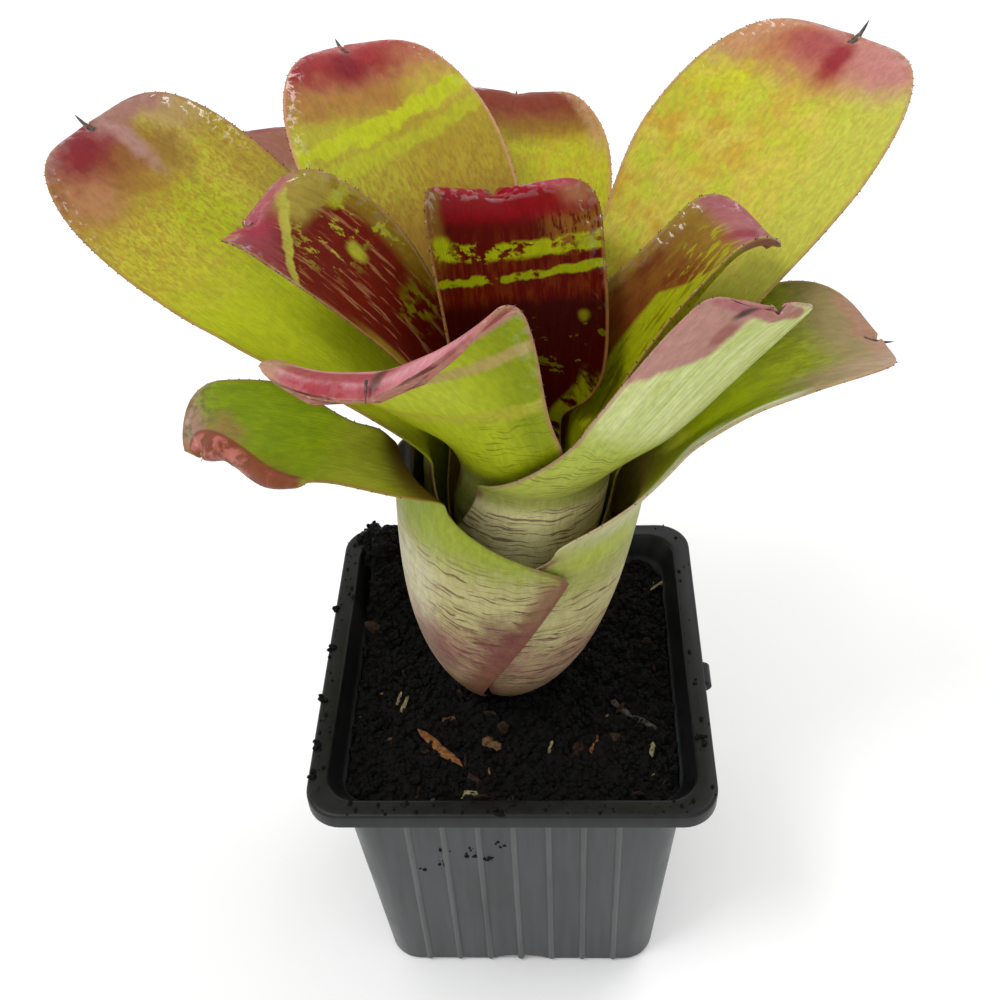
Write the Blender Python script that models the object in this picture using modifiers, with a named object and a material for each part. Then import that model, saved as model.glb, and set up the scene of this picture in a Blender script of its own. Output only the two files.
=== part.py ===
"""A bromeliad of the broad-leaved tank kind, growing in a small square nursery pot.

The plant is a rosette: every leaf has a sheath that wraps round the plant's own axis, one inside
the other, and a strap blade that leans out of the tube they make together.
Metres, +Z up. The origin is the middle of the pot's underside, and -Y is the front.
"""
import math

import bmesh
import bpy
import numpy as np
from mathutils import Matrix, Vector

# Pot: a 9 cm square nursery pot
POT_WIDTH = 0.090
POT_HEIGHT = 0.0825
POT_FOOT_WIDTH = 0.0692
POT_NECK_WIDTH = 0.0782
POT_WALL = 0.0012
POT_CORNER = 0.008
RIM_BAND = 0.0045
RIM_SKIRT = 0.0045
RIM_EDGE = 0.0008
RIBS_A_SIDE = 7
RIB_PITCH = 0.008
RIB_WIDTH = 0.0014
RIB_HEIGHT = 0.0005
NOTCH_WIDTH = 0.014
NOTCH_HEIGHT = 0.0025
DRAIN_RADIUS = 0.0035
DRAIN_OFFSET = 0.018
LUG_LENGTH = 0.007
LUG_RADIUS = 0.0016
LUG_PLACE = -0.005
LUG_SINK = 0.0002
LUG_SIDES = 10
RIB_START = 0.0012
RIB_END = 0.0005
RIB_TAPER = 0.6
NOTCH_DEPTH = 0.004
ROUND_SIDES = 16

# Soil
SOIL_LEVEL = 0.0755
SOIL_ROUGHNESS = 0.0009
SOIL_WAVES = (610, 430, 730, 260, 1330, 990)
SOIL_HEAP = 0.0060
SOIL_HEAP_PLACE = 0.036
SOIL_MOUND = 0.0012
MOUND_REACH = 0.030
SOIL_ABOVE_RIM = 0.0015
ROOM_TUCK = 0.0001
SOIL_CELLS = 20
GAP = 0.0003

# Plant: its axis starts at the soil and leans to the right
AXIS_X = -0.003
AXIS_BASE = 0.075
AXIS_LEAN = math.radians(6.0)
TUBE_RADIUS = 0.027
TUBE_ROOT = 0.069
TUBE_FLARE = 0.020
LAYER_STEP = 0.00150
LEAF_THICKNESS = 0.0007
FIRST_LEAF_HEIGHT = 0.0745
LEAF_HEIGHT_STEP = 0.0016
SHEATH_HOLD = 0.50
SHEATH_LEVELS = 11
BLADE_ROWS = 14
LEAF_COLUMNS = 10
TOOTH = 0.0004
SPINE_LENGTH = 0.0062
SPINE_RADIUS = 0.0008
SPINE_SINK = 0.0026
SPINE_BEND = 0.0018
SPINE_POINT = 0.2
SPINE_SIDES = 6
CORE_DEPTH = 0.050
CORE_SIDES = 14
CORE_STEPS = 5
HOLE_SIDES = 24
HOLE_STEPS = 6
HOLE_STEP = 0.0024
HOLE_SHOULDER = 0.0025
MERGE_DISTANCE = 0.00002
SHARP_ANGLE = math.radians(50)

# How a blade is laid out. Shares are of the blade's length.
MIDRIB_POINTS = 200
MIDRIB_STEP = 0.0005
TIP_HANDLE = 0.35
CHANNEL_FREE = 0.35
ROLL_FREE = 0.6
FACE_FREE = 0.8
TIP_END = 0.9985
ROW_CROWDING = 1.25
LEVEL_CROWDING = 1.15
LEVEL_CLEARANCE = 0.0015

# One entry for each leaf, outermost sheath first. Angles are in degrees round the plant's axis,
# anticlockwise from +X seen from above. azimuth: where the blade leaves the tube. leave: the height
# there. wrap and wrap_top: half angle of the sheath low down and at its top. hold: share of the
# sheath's height that stays full width. tip: angle, reach from the axis and height of the tip.
# out: how far the blade's foot leans out. rise: how long it keeps to that. end: slope at the tip.
# heading: which way the tip runs, if not straight on. face: where its back looks, if not straight
# out. roll: turn about the midrib. width: half the blade's width. neck and neck_at: share of that
# width low down, and where. widest: where it is widest. blunt: how square the tip is. oblique: how
# far the tip is askew. channel and channel_tip: radius of the cross-section. curl: how far the tip
# rolls back.
LEAF_FORMS = {
    "leaf_01_left_low": dict(azimuth=-148, leave=0.15, tip=(178, 0.072, 0.1435), end=-17, rise=0.06,
                             width=0.016, wrap=80, wrap_top=22, neck_at=0.25, roll=-3, hold=0.78,
                             oblique=-0.016, neck=0.56),
    "leaf_02_right_low": dict(azimuth=5, leave=0.141, tip=(10, 0.0695, 0.174), end=-5, rise=0.35,
                              width=0.019, wrap=108, wrap_top=80, neck_at=0.3, roll=-4, hold=0.85, curl=30,
                              blunt=3.0),
    "leaf_03_back_left_low": dict(azimuth=132, leave=0.147, tip=(126, 0.13, 0.163), end=5, rise=0.04,
                                  width=0.018, wrap_top=40, neck_at=0.15, curl=40, roll=10, out=60),
    "leaf_04_back": dict(azimuth=92, leave=0.146, tip=(93, 0.105, 0.18), end=10, rise=0.18, width=0.0205,
                         wrap_top=34, neck_at=0.15, curl=50, blunt=2.0),
    "leaf_05_left": dict(azimuth=166, leave=0.149, tip=(148, 0.12, 0.1835), end=35, rise=0.1, width=0.022,
                         wrap_top=38, curl=45, roll=-20, widest=0.68, neck=0.92, neck_at=0.3, out=12,
                         blunt=2.4),
    "leaf_06_right": dict(azimuth=35, leave=0.144, tip=(50, 0.106, 0.2075), end=22, rise=0.12, width=0.0262,
                          wrap_top=45, neck=0.75, curl=30, blunt=2.3, widest=0.6),
    "leaf_07_front_right": dict(azimuth=-62, leave=0.15, tip=(-18, 0.042, 0.195), end=45, rise=0.25,
                                width=0.012, wrap_top=60, neck=1.0, channel=0.03, channel_tip=0.03,
                                face=-68, curl=10, blunt=4.5, widest=0.85, roll=0, heading=15, out=56,
                                oblique=0.005, neck_at=0.3),
    "leaf_08_back_left": dict(azimuth=125, leave=0.147, tip=(120.5, 0.09, 0.199), end=25, rise=0.14,
                              width=0.023, wrap_top=42, curl=40, roll=-4, blunt=2.1, channel_tip=0.1),
    "leaf_09_front": dict(azimuth=-117, leave=0.148, tip=(-142, 0.0398, 0.1895), end=50, rise=0.33,
                          width=0.0268, wrap_top=36, neck=0.66, channel=0.034, face=-96, blunt=7.0,
                          channel_tip=0.06, widest=0.9, roll=0, out=18, curl=105),
    "leaf_10_inner_right": dict(azimuth=13, leave=0.15, tip=(22, 0.0445, 0.1965), end=32, rise=0.2,
                                width=0.0138, wrap_top=80, neck=1.3, channel=0.0125, blunt=3.5,
                                channel_tip=0.018, roll=-16, widest=0.82, out=40, curl=80),
    "leaf_11_inner_left": dict(azimuth=172, leave=0.146, tip=(164, 0.0615, 0.19), end=12, rise=0.22,
                               width=0.0155, channel=0.0125, channel_tip=0.024, blunt=3.0, widest=0.7,
                               roll=-8, out=0, wrap_top=42, neck=0.68, neck_at=0.3),
    "leaf_12_inner_back": dict(azimuth=106, leave=0.15, tip=(106, 0.0345, 0.192), end=50, rise=0.35,
                               width=0.0203, channel=0.014, channel_tip=0.024, blunt=3.5, widest=0.65,
                               neck=1.05),
}
LEAF_DEFAULTS = dict(rise=0.35, wrap=100, wrap_top=60, neck=0.85, neck_at=0.25, widest=0.62, blunt=2.4,
                     channel=0.030, channel_tip=0.060, roll=0, face=None, curl=70, curl_length=0.012,
                     hold=SHEATH_HOLD, oblique=0, heading=None, out=0)
SIDE_CURL = 0.45

# Colours, as linear red, green and blue
POT_COLOUR = (0.022, 0.023, 0.026, 1)
SOIL_COLOUR = (0.010, 0.008, 0.007, 1)
STEM_COLOUR = (0.30, 0.24, 0.12, 1)
LIME = (0.42, 0.48, 0.03, 1)
OLIVE = (0.40, 0.34, 0.06, 1)
MAROON = (0.16, 0.012, 0.012, 1)
PALE_GREEN = (0.50, 0.56, 0.25, 1)
LEAF_COLOURS = {
    "leaf_07_front_right": PALE_GREEN,
    "leaf_08_back_left": OLIVE,
    "leaf_10_inner_right": MAROON,
    "leaf_11_inner_left": MAROON,
    "leaf_12_inner_back": MAROON,
}


def clear_scene():
    for thing in list(bpy.data.objects):
        bpy.data.objects.remove(thing, do_unlink=True)


def new_collection(name):
    collection = bpy.data.collections.new(name)
    bpy.context.scene.collection.children.link(collection)
    return collection


def surface(name, colour, roughness, metallic=0.0):
    material = bpy.data.materials.new(name)
    material.use_nodes = True
    shader = material.node_tree.nodes["Principled BSDF"]
    shader.inputs["Base Color"].default_value = colour
    shader.inputs["Roughness"].default_value = roughness
    shader.inputs["Metallic"].default_value = metallic
    return material


def add_object(name, bm, collection, material=None, smooth=False):
    mesh = bpy.data.meshes.new(name)
    bmesh.ops.recalc_face_normals(bm, faces=bm.faces)
    bm.to_mesh(mesh)
    bm.free()
    if smooth:
        mesh.shade_smooth()
        mesh.set_sharp_from_angle(angle=SHARP_ANGLE)
    thing = bpy.data.objects.new(name, mesh)
    if material:
        mesh.materials.append(material)
    collection.objects.link(thing)
    return thing


def hide_cutter(thing):
    thing.hide_render = True
    thing.display_type = "WIRE"


def boolean(target, operation, operand):
    modifier = target.modifiers.new(operand.name, "BOOLEAN")
    modifier.operation = operation
    modifier.solver = "EXACT"
    modifier.object = operand
    return modifier


def smooth_step(value):
    value = min(max(value, 0.0), 1.0)
    return value * value * (3.0 - 2.0 * value)


def rounded_square(half, corner, height, steps=4):
    """Points of a level square with round corners, anticlockwise."""
    points = []
    for quarter in range(4):
        start = quarter * math.pi / 2
        middle = Matrix.Rotation(start, 3, "Z") @ Vector((half - corner, half - corner, 0))
        for step in range(steps + 1):
            angle = start + step / steps * math.pi / 2
            points.append(middle + Vector((corner * math.cos(angle), corner * math.sin(angle), height)))
    return points


def loft(stations):
    """A closed solid through level rounded squares, each given as half width, corner and height."""
    bm = bmesh.new()
    loops = []
    for half, corner, height in stations:
        loops.append([bm.verts.new(point) for point in rounded_square(half, corner, height)])
    for lower, upper in zip(loops, loops[1:]):
        count = len(lower)
        for index in range(count):
            after = (index + 1) % count
            bm.faces.new((lower[index], lower[after], upper[after], upper[index]))
    bm.faces.new(list(reversed(loops[0])))
    bm.faces.new(loops[-1])
    return bm


def wall_half(height):
    """Half the pot's outer width at a height, below the rim."""
    neck = POT_HEIGHT - RIM_SKIRT
    return (POT_FOOT_WIDTH + (POT_NECK_WIDTH - POT_FOOT_WIDTH) * height / neck) / 2


def build_pot(parts, cutters):
    half = POT_WIDTH / 2
    neck = POT_HEIGHT - RIM_SKIRT
    stations = [
        (wall_half(0) - RIM_EDGE, POT_CORNER, 0.0),
        (wall_half(0), POT_CORNER, RIM_EDGE),
        (wall_half(neck), POT_CORNER, neck),
        (half - RIM_EDGE, POT_CORNER, neck),
        (half, POT_CORNER, neck + RIM_EDGE),
        (half, POT_CORNER, POT_HEIGHT - RIM_EDGE),
        (half - RIM_EDGE, POT_CORNER, POT_HEIGHT),
        (half - RIM_BAND, POT_CORNER - POT_WALL, POT_HEIGHT),
        (wall_half(neck) - POT_WALL, POT_CORNER - POT_WALL, neck - RIM_EDGE),
        (wall_half(0) - POT_WALL, POT_CORNER - POT_WALL, POT_WALL),
    ]
    material = surface("pot_plastic", POT_COLOUR, 0.45)
    pot = add_object("pot", loft(stations), parts, material, smooth=True)

    ribs = add_object("pot_ribs", pot_ribs(), cutters)
    hide_cutter(ribs)
    boolean(pot, "UNION", ribs)
    drains = add_object("pot_drains", pot_drains(), cutters)
    hide_cutter(drains)
    boolean(pot, "DIFFERENCE", drains)
    return pot


def pot_ribs():
    """Vertical ribs moulded on each wall, and the small round lug on the right of the rim."""
    bm = bmesh.new()
    top = POT_HEIGHT - RIM_SKIRT - RIB_END
    sink = POT_WALL / 2
    for side in range(4):
        turn = Matrix.Rotation(side * math.pi / 2, 4, "Z")
        for number in range(RIBS_A_SIDE):
            across = (number - (RIBS_A_SIDE - 1) / 2) * RIB_PITCH
            rib = bmesh.ops.create_cube(bm, size=1.0)["verts"]
            for vertex in rib:
                height = top if vertex.co.z > 0 else RIB_START
                outer = vertex.co.y < 0
                wide = RIB_WIDTH * (RIB_TAPER if outer else 1.0)
                reach = RIB_HEIGHT if outer else -sink
                vertex.co = (across + math.copysign(wide / 2, vertex.co.x),
                             -wall_half(height) - reach, height)
            bmesh.ops.transform(bm, matrix=turn, verts=rib)
    lug = bmesh.ops.create_cone(bm, cap_ends=True, segments=LUG_SIDES, radius1=LUG_RADIUS,
                                radius2=LUG_RADIUS, depth=LUG_LENGTH)["verts"]
    place = Matrix.Translation((POT_WIDTH / 2 - LUG_SINK, LUG_PLACE, POT_HEIGHT - RIM_SKIRT / 2))
    bmesh.ops.transform(bm, matrix=place @ Matrix.Rotation(math.pi / 2, 4, "X"), verts=lug)
    return bm


def pot_drains():
    """Round holes through the floor, and an arched notch in the foot of each wall."""
    bm = bmesh.new()
    for sign_x in (-1, 1):
        for sign_y in (-1, 1):
            place = Matrix.Translation((sign_x * DRAIN_OFFSET, sign_y * DRAIN_OFFSET, 0))
            hole = bmesh.ops.create_cone(bm, cap_ends=True, segments=ROUND_SIDES, radius1=DRAIN_RADIUS,
                                         radius2=DRAIN_RADIUS, depth=4 * POT_WALL)["verts"]
            bmesh.ops.transform(bm, matrix=place, verts=hole)
    for side in range(4):
        turn = Matrix.Rotation(side * math.pi / 2, 4, "Z")
        notch = bmesh.ops.create_cone(bm, cap_ends=True, segments=ROUND_SIDES, radius1=NOTCH_WIDTH / 2,
                                      radius2=NOTCH_WIDTH / 2, depth=NOTCH_DEPTH)["verts"]
        flatten = Matrix.Diagonal((1, NOTCH_HEIGHT / (NOTCH_WIDTH / 2), 1, 1))
        lay = Matrix.Rotation(math.pi / 2, 4, "X")
        place = Matrix.Translation((0, -wall_half(0), 0))
        bmesh.ops.transform(bm, matrix=turn @ place @ lay @ flatten, verts=notch)
    return bm


def soil_height(x, y):
    """The rough top of the soil, heaped against the back left corner."""
    first, second, third, fourth, fifth, sixth = SOIL_WAVES
    rough = (math.sin(x * first + 1.3 * math.sin(y * second)) + math.sin(y * third + x * fourth)
             + 0.7 * math.sin(x * fifth - y * sixth)) * SOIL_ROUGHNESS / 2
    corner = math.hypot(x + SOIL_HEAP_PLACE, y - SOIL_HEAP_PLACE)
    heap = SOIL_HEAP * smooth_step(1 - corner / MOUND_REACH)
    near_plant = math.hypot(x - AXIS_X, y)
    mound = SOIL_MOUND * smooth_step(1 - near_plant / MOUND_REACH)
    return SOIL_LEVEL + rough + heap + mound


def lean(point):
    """Turns a point of the upright plant about the foot of its axis, then puts it in the pot."""
    upright = Vector(point) - Vector((0, 0, AXIS_BASE))
    turned = Matrix.Rotation(AXIS_LEAN, 3, "Y") @ upright
    return turned + Vector((AXIS_X, 0, AXIS_BASE))


def turned_solid(profile, segments):
    """A solid of revolution about the plant's axis, from radius and height pairs, then leaned."""
    bm = bmesh.new()
    bottom = bm.verts.new((0, 0, profile[0][1]))
    top = bm.verts.new((0, 0, profile[-1][1]))
    rows = [[bm.verts.new((radius, 0, height))] for radius, height in profile]
    edges = [bm.edges.new((a[0], b[0])) for a, b in zip(rows, rows[1:])]
    edges.append(bm.edges.new((bottom, rows[0][0])))
    edges.append(bm.edges.new((rows[-1][0], top)))
    bmesh.ops.spin(bm, geom=bm.verts[:] + edges, cent=(0, 0, 0), axis=(0, 0, 1),
                   angle=2 * math.pi, steps=segments)
    bmesh.ops.remove_doubles(bm, verts=bm.verts, dist=MERGE_DISTANCE)
    for vertex in bm.verts:
        vertex.co = lean(vertex.co)
    return bm


def build_soil(parts, cutters):
    bm = bmesh.new()
    half = POT_WIDTH / 2
    bmesh.ops.create_grid(bm, x_segments=SOIL_CELLS, y_segments=SOIL_CELLS, size=half)
    for vertex in bm.verts:
        vertex.co.z = soil_height(vertex.co.x, vertex.co.y)
    made = bmesh.ops.extrude_face_region(bm, geom=bm.faces[:])["geom"]
    for item in made:
        if isinstance(item, bmesh.types.BMVert):
            item.co.z = POT_WALL / 2
    material = surface("soil", SOIL_COLOUR, 0.95)
    soil = add_object("soil", bm, parts, material)

    neck = POT_HEIGHT - RIM_SKIRT
    inner = POT_WALL + GAP + ROOM_TUCK
    corner = POT_CORNER - POT_WALL
    room = loft([
        (wall_half(0) - inner, corner, POT_WALL + GAP),
        (wall_half(neck) - inner, corner, neck - RIM_EDGE),
        (half - RIM_BAND - GAP, corner, POT_HEIGHT + SOIL_ABOVE_RIM),
    ])
    room = add_object("soil_room", room, cutters)
    hide_cutter(room)
    boolean(soil, "INTERSECT", room)

    clear = LEAF_THICKNESS / 2 + 2 * GAP
    core = core_radius(FIRST_LEAF_HEIGHT) + GAP
    hole = [(core, AXIS_BASE - CORE_DEPTH - GAP), (core, FIRST_LEAF_HEIGHT - HOLE_SHOULDER)]
    for step in range(HOLE_STEPS):
        height = FIRST_LEAF_HEIGHT + (step - 0.5) * HOLE_STEP
        hole.append((tube_radius(height) + clear, height))
    hole = add_object("stem_hole", turned_solid(hole, HOLE_SIDES), cutters)
    hide_cutter(hole)
    boolean(soil, "DIFFERENCE", hole)


def tube_radius(height):
    """Radius of the outermost sheath round the plant's axis."""
    return TUBE_RADIUS * (1 - math.exp(-max(height - TUBE_ROOT, 0) / TUBE_FLARE))


def leaf_start(layer):
    return FIRST_LEAF_HEIGHT + LEAF_HEIGHT_STEP * layer


def core_radius(height):
    """Radius of the short stem at the height where one layer of leaves grows from it."""
    layer = max(height - FIRST_LEAF_HEIGHT, 0) / LEAF_HEIGHT_STEP
    sheath = tube_radius(max(height, FIRST_LEAF_HEIGHT)) - layer * LAYER_STEP
    return sheath - LEAF_THICKNESS / 2 - GAP


def build_stem(parts):
    last = leaf_start(len(LEAF_FORMS) - 1)
    profile = [(core_radius(0), AXIS_BASE - CORE_DEPTH)]
    for step in range(CORE_STEPS + 1):
        height = FIRST_LEAF_HEIGHT + (last - FIRST_LEAF_HEIGHT) * step / CORE_STEPS
        profile.append((core_radius(height), height))
    material = surface("stem", STEM_COLOUR, 0.7)
    add_object("stem", turned_solid(profile, CORE_SIDES), parts, material, smooth=True)


def unit(vector):
    return vector / np.linalg.norm(vector)


def slanting(heading, slope):
    """A direction with a compass heading, sloping up from the level."""
    return np.array([math.cos(heading) * math.cos(slope), math.sin(heading) * math.cos(slope),
                     math.sin(slope)])


class Leaf:
    """One leaf of the upright plant: sheath rows on the tube, then blade rows along a bent midrib."""

    def __init__(self, layer, form):
        self.form = dict(LEAF_DEFAULTS, **form)
        self.inset = layer * LAYER_STEP
        self.start = leaf_start(layer)
        self.leave = self.form["leave"]
        self.turn = math.radians(self.form["azimuth"])
        self.leave_radius = tube_radius(self.leave) - self.inset
        self.lay_midrib()

    def lay_midrib(self):
        form = self.form
        outward = np.array([math.cos(self.turn), math.sin(self.turn), 0.0])
        self.round_about = np.array([-math.sin(self.turn), math.cos(self.turn), 0.0])
        foot = outward * self.leave_radius + np.array([0, 0, self.leave])
        angle, reach, height = form["tip"]
        angle = math.radians(angle)
        tip = np.array([reach * math.cos(angle), reach * math.sin(angle), height])
        run = tip - foot
        span = np.linalg.norm(run)
        way = math.atan2(run[1], run[0])
        heading = way if form["heading"] is None else math.radians(form["heading"])
        start = slanting(way, math.radians(90 - form["out"]))
        end = slanting(heading, math.radians(form["end"]))
        handles = (foot, foot + start * span * form["rise"], tip - end * span * TIP_HANDLE, tip)
        steps = np.linspace(0, 1, MIDRIB_POINTS)[:, None]
        rest = 1 - steps
        self.path = (rest ** 3 * handles[0] + 3 * rest ** 2 * steps * handles[1]
                     + 3 * rest * steps ** 2 * handles[2] + steps ** 3 * handles[3])
        pieces = np.linalg.norm(np.diff(self.path, axis=0), axis=1)
        self.reach = np.concatenate([[0], np.cumsum(pieces)])
        self.length = self.reach[-1]

    def along(self, distance):
        return np.array([np.interp(distance, self.reach, self.path[:, axis]) for axis in range(3)])

    def frame(self, distance):
        """Direction, side and inner normal of the blade at a distance along its midrib."""
        distance = min(max(distance, MIDRIB_STEP), self.length - MIDRIB_STEP)
        forward = unit(self.along(distance + MIDRIB_STEP) - self.along(distance - MIDRIB_STEP))
        side = unit(np.cross([0, 0, 1.0], forward))
        if self.form["face"] is not None:
            face = math.radians(self.form["face"])
            share = smooth_step(distance / self.length / FACE_FREE)
            wanted = np.array([-math.sin(face), math.cos(face), 0.0])
            side = self.round_about * (1 - share) + wanted * share
            side = unit(side - forward * side.dot(forward))
        normal = np.cross(forward, side)
        roll = math.radians(self.form["roll"]) * smooth_step(distance / self.length / ROLL_FREE)
        return (forward, side * math.cos(roll) + normal * math.sin(roll),
                normal * math.cos(roll) - side * math.sin(roll))

    def half_width(self, share):
        """Half the blade's width at a share of its length: narrowed neck, widest part, round tip."""
        form = self.form
        if share >= form["widest"]:
            beyond = min((share - form["widest"]) / (1 - form["widest"]), TIP_END)
            return form["width"] * (1 - beyond ** form["blunt"]) ** (1 / form["blunt"])
        neck = form["width"] * form["neck"]
        if share < form["neck_at"]:
            sheath = math.radians(form["wrap_top"]) * self.leave_radius
            return sheath + (neck - sheath) * smooth_step(share / form["neck_at"])
        widening = smooth_step((share - form["neck_at"]) / (form["widest"] - form["neck_at"]))
        return neck + (form["width"] - neck) * widening

    def sheath_point(self, height, across):
        form = self.form
        radius = tube_radius(height) - self.inset
        risen = (height - self.start) / (self.leave - self.start)
        share = smooth_step((risen - form["hold"]) / (1 - form["hold"]))
        half_angle = form["wrap"] * (1 - share) + form["wrap_top"] * share
        angle = self.turn + across * math.radians(half_angle)
        return np.array([radius * math.cos(angle), radius * math.sin(angle), height])

    def blade_point(self, distance, across):
        form = self.form
        straight = self.length - form["curl_length"]
        held = min(distance, straight)
        forward, side, normal = self.frame(held)
        middle = self.along(held)
        share = held / self.length
        free = smooth_step(share / CHANNEL_FREE)
        radius = math.hypot(middle[0], middle[1])
        channel = form["channel"] + (form["channel_tip"] - form["channel"]) * smooth_step(share)
        bend = (1 - free) / radius + free / channel
        inward = np.array([-middle[0], -middle[1], 0]) / radius
        around = np.array([-middle[1], middle[0], 0]) / radius
        side = unit(around * (1 - free) + side * free)
        inner = inward * (1 - free) + normal * free
        inner = unit(inner - side * inner.dot(side))
        offset = across * self.half_width(distance / self.length)
        point = middle + side * math.sin(offset * bend) / bend
        point = point + inner * (1 - math.cos(offset * bend)) / bend
        point = point + forward * form["oblique"] * across * share ** 2
        return point + self.curl_shift(distance - straight, offset, forward, normal)

    def curl_shift(self, beyond, offset, forward, normal):
        """The tip rolls back, less towards its sides than along the midrib."""
        if beyond <= 0:
            return np.zeros(3)
        form = self.form
        sides = 1 - SIDE_CURL * (offset / form["width"]) ** 2
        turn = math.radians(form["curl"]) / form["curl_length"] * sides
        return forward * math.sin(turn * beyond) / turn - normal * (1 - math.cos(turn * beyond)) / turn

    def sheath_heights(self):
        """Levels shared by all the sheaths, so that their facets lie side by side."""
        top = max(form["leave"] for form in LEAF_FORMS.values())
        span = top - FIRST_LEAF_HEIGHT
        steps = [(step / SHEATH_LEVELS) ** LEVEL_CROWDING for step in range(SHEATH_LEVELS + 1)]
        levels = [FIRST_LEAF_HEIGHT + span * step for step in steps]
        lowest = self.start + LEVEL_CLEARANCE
        highest = self.leave - LEVEL_CLEARANCE
        inside = [level for level in levels if lowest < level < highest]
        return [self.start] + inside

    def rows(self):
        """The leaf's points, row by row from the foot of the sheath to the tip."""
        columns = np.linspace(-1, 1, LEAF_COLUMNS + 1)
        rows = []
        for height in self.sheath_heights():
            rows.append([self.sheath_point(height, across) for across in columns])
        for step in range(BLADE_ROWS + 1):
            distance = self.length * (1 - (1 - step / BLADE_ROWS) ** ROW_CROWDING)
            rows.append([self.blade_point(distance, across) for across in columns])
        return rows

    def tip_frame(self):
        """The very tip and the way it points, for its spine."""
        before = self.blade_point(self.length - 2 * MIDRIB_STEP, 0)
        tip = self.blade_point(self.length, 0)
        return tip, unit(tip - before), self.frame(self.length)[2]


def leaf_sheet(leaf):
    """The leaf's middle surface: a grid laid on the leaf's rows, with a saw-toothed margin."""
    rows = leaf.rows()
    bm = bmesh.new()
    bmesh.ops.create_grid(bm, x_segments=LEAF_COLUMNS, y_segments=len(rows) - 1, size=1.0)
    bm.verts.ensure_lookup_table()
    width = LEAF_COLUMNS + 1
    first_blade_row = len(rows) - BLADE_ROWS - 1
    for index, vertex in enumerate(bm.verts):
        row, column = divmod(index, width)
        point = np.array(rows[row][column])
        on_margin = column in (0, LEAF_COLUMNS)
        if on_margin and row > first_blade_row and row % 2 == 0 and row < len(rows) - 1:
            next_in = rows[row][1] if column == 0 else rows[row][LEAF_COLUMNS - 1]
            point = point + unit(point - next_in) * TOOTH
        vertex.co = lean(point)
    bmesh.ops.triangulate(bm, faces=bm.faces)
    return bm


def leaf_spine(leaf):
    """The dark curved spine at the tip of a leaf: a cone, bent upwards, with its root in the leaf."""
    tip, forward, inner = leaf.tip_frame()
    side = unit(np.cross(inner, forward))
    inner = np.cross(forward, side)
    bm = bmesh.new()
    rings = 3
    bmesh.ops.create_cone(bm, cap_ends=True, segments=SPINE_SIDES, radius1=SPINE_RADIUS,
                          radius2=SPINE_RADIUS * SPINE_POINT, depth=1.0)
    long_edges = [edge for edge in bm.edges if abs(edge.verts[0].co.z - edge.verts[1].co.z) > 0.5]
    bmesh.ops.subdivide_edges(bm, edges=long_edges, cuts=rings - 1)
    for vertex in bm.verts:
        share = vertex.co.z + 0.5
        along = -SPINE_SINK + share * (SPINE_LENGTH + SPINE_SINK)
        rise = SPINE_BEND * share ** 2
        vertex.co = lean(tip + forward * along + inner * (rise + vertex.co.x) + side * vertex.co.y)
    return bm


def build_leaves(parts, cutters):
    for layer, (name, form) in enumerate(LEAF_FORMS.items()):
        leaf = Leaf(layer, form)
        material = surface(name, LEAF_COLOURS.get(name, LIME), 0.35)
        sheet = add_object(name, leaf_sheet(leaf), parts, material, smooth=True)
        thicken = sheet.modifiers.new("thickness", "SOLIDIFY")
        thicken.thickness = LEAF_THICKNESS
        thicken.offset = 0
        spine = add_object(name + "_spine", leaf_spine(leaf), cutters)
        hide_cutter(spine)
        boolean(sheet, "UNION", spine)


def build():
    clear_scene()
    parts = new_collection("bromeliad")
    cutters = new_collection("cutters")
    build_pot(parts, cutters)
    build_soil(parts, cutters)
    build_stem(parts)
    build_leaves(parts, cutters)


build()
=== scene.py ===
"""A broad-leaved tank bromeliad in a small square nursery pot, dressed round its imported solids.

Metres, +Z up, front towards -Y. The sections follow the plant as it is put together: the view,
the pot, the soil, the short stem, and then the leaves from the outermost sheath inwards.
"""
import math
import random

import bmesh
import bpy
import numpy as np
from mathutils import Matrix, Vector, noise


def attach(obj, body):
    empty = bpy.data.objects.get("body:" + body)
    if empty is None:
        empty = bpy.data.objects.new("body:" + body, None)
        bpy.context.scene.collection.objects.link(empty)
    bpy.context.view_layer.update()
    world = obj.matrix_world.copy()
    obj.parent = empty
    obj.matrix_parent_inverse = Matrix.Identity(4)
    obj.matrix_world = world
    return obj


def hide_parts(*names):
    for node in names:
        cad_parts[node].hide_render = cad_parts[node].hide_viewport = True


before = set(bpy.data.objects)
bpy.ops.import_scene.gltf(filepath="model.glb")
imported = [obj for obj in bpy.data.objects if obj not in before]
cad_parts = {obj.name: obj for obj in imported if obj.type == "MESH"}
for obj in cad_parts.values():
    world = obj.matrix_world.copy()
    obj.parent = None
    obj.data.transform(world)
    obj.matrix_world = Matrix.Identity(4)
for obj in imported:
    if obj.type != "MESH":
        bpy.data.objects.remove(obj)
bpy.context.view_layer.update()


# View
# A phone held a little above the rosette, in front of the pot, looking down into it. The plant
# stands on a white table top in soft daylight, between a window and a pale ceiling.
CAMERA_PLACE = Vector((0.0106, -0.1953, 0.3126))
CAMERA_PITCH = math.radians(42.54)
CAMERA_YAW = math.radians(3.49)
CAMERA_ROLL = math.radians(3.03)
CAMERA_LENS = 44.96
CAMERA_SENSOR = 36
TABLE_HALF = 2.0
DAYLIGHT = 0.86
WHITE_TABLE = (0.95, 0.95, 0.95, 1)
SKY_COLOUR = (1.0, 1.0, 1.0, 1)
SKY_STRENGTH = 0.88
LIGHT_AIM = Vector((0, 0, 0.12))
WINDOW_PLACE = (-0.7, -0.35, 1.5)
WINDOW_SIZE = (0.6, 0.4)
WINDOW_POWER = 9.5
CEILING_PLACE = (0.6, 0.8, 1.6)
CEILING_SIZE = (0.9, 0.4)
CEILING_POWER = 7.0


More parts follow.
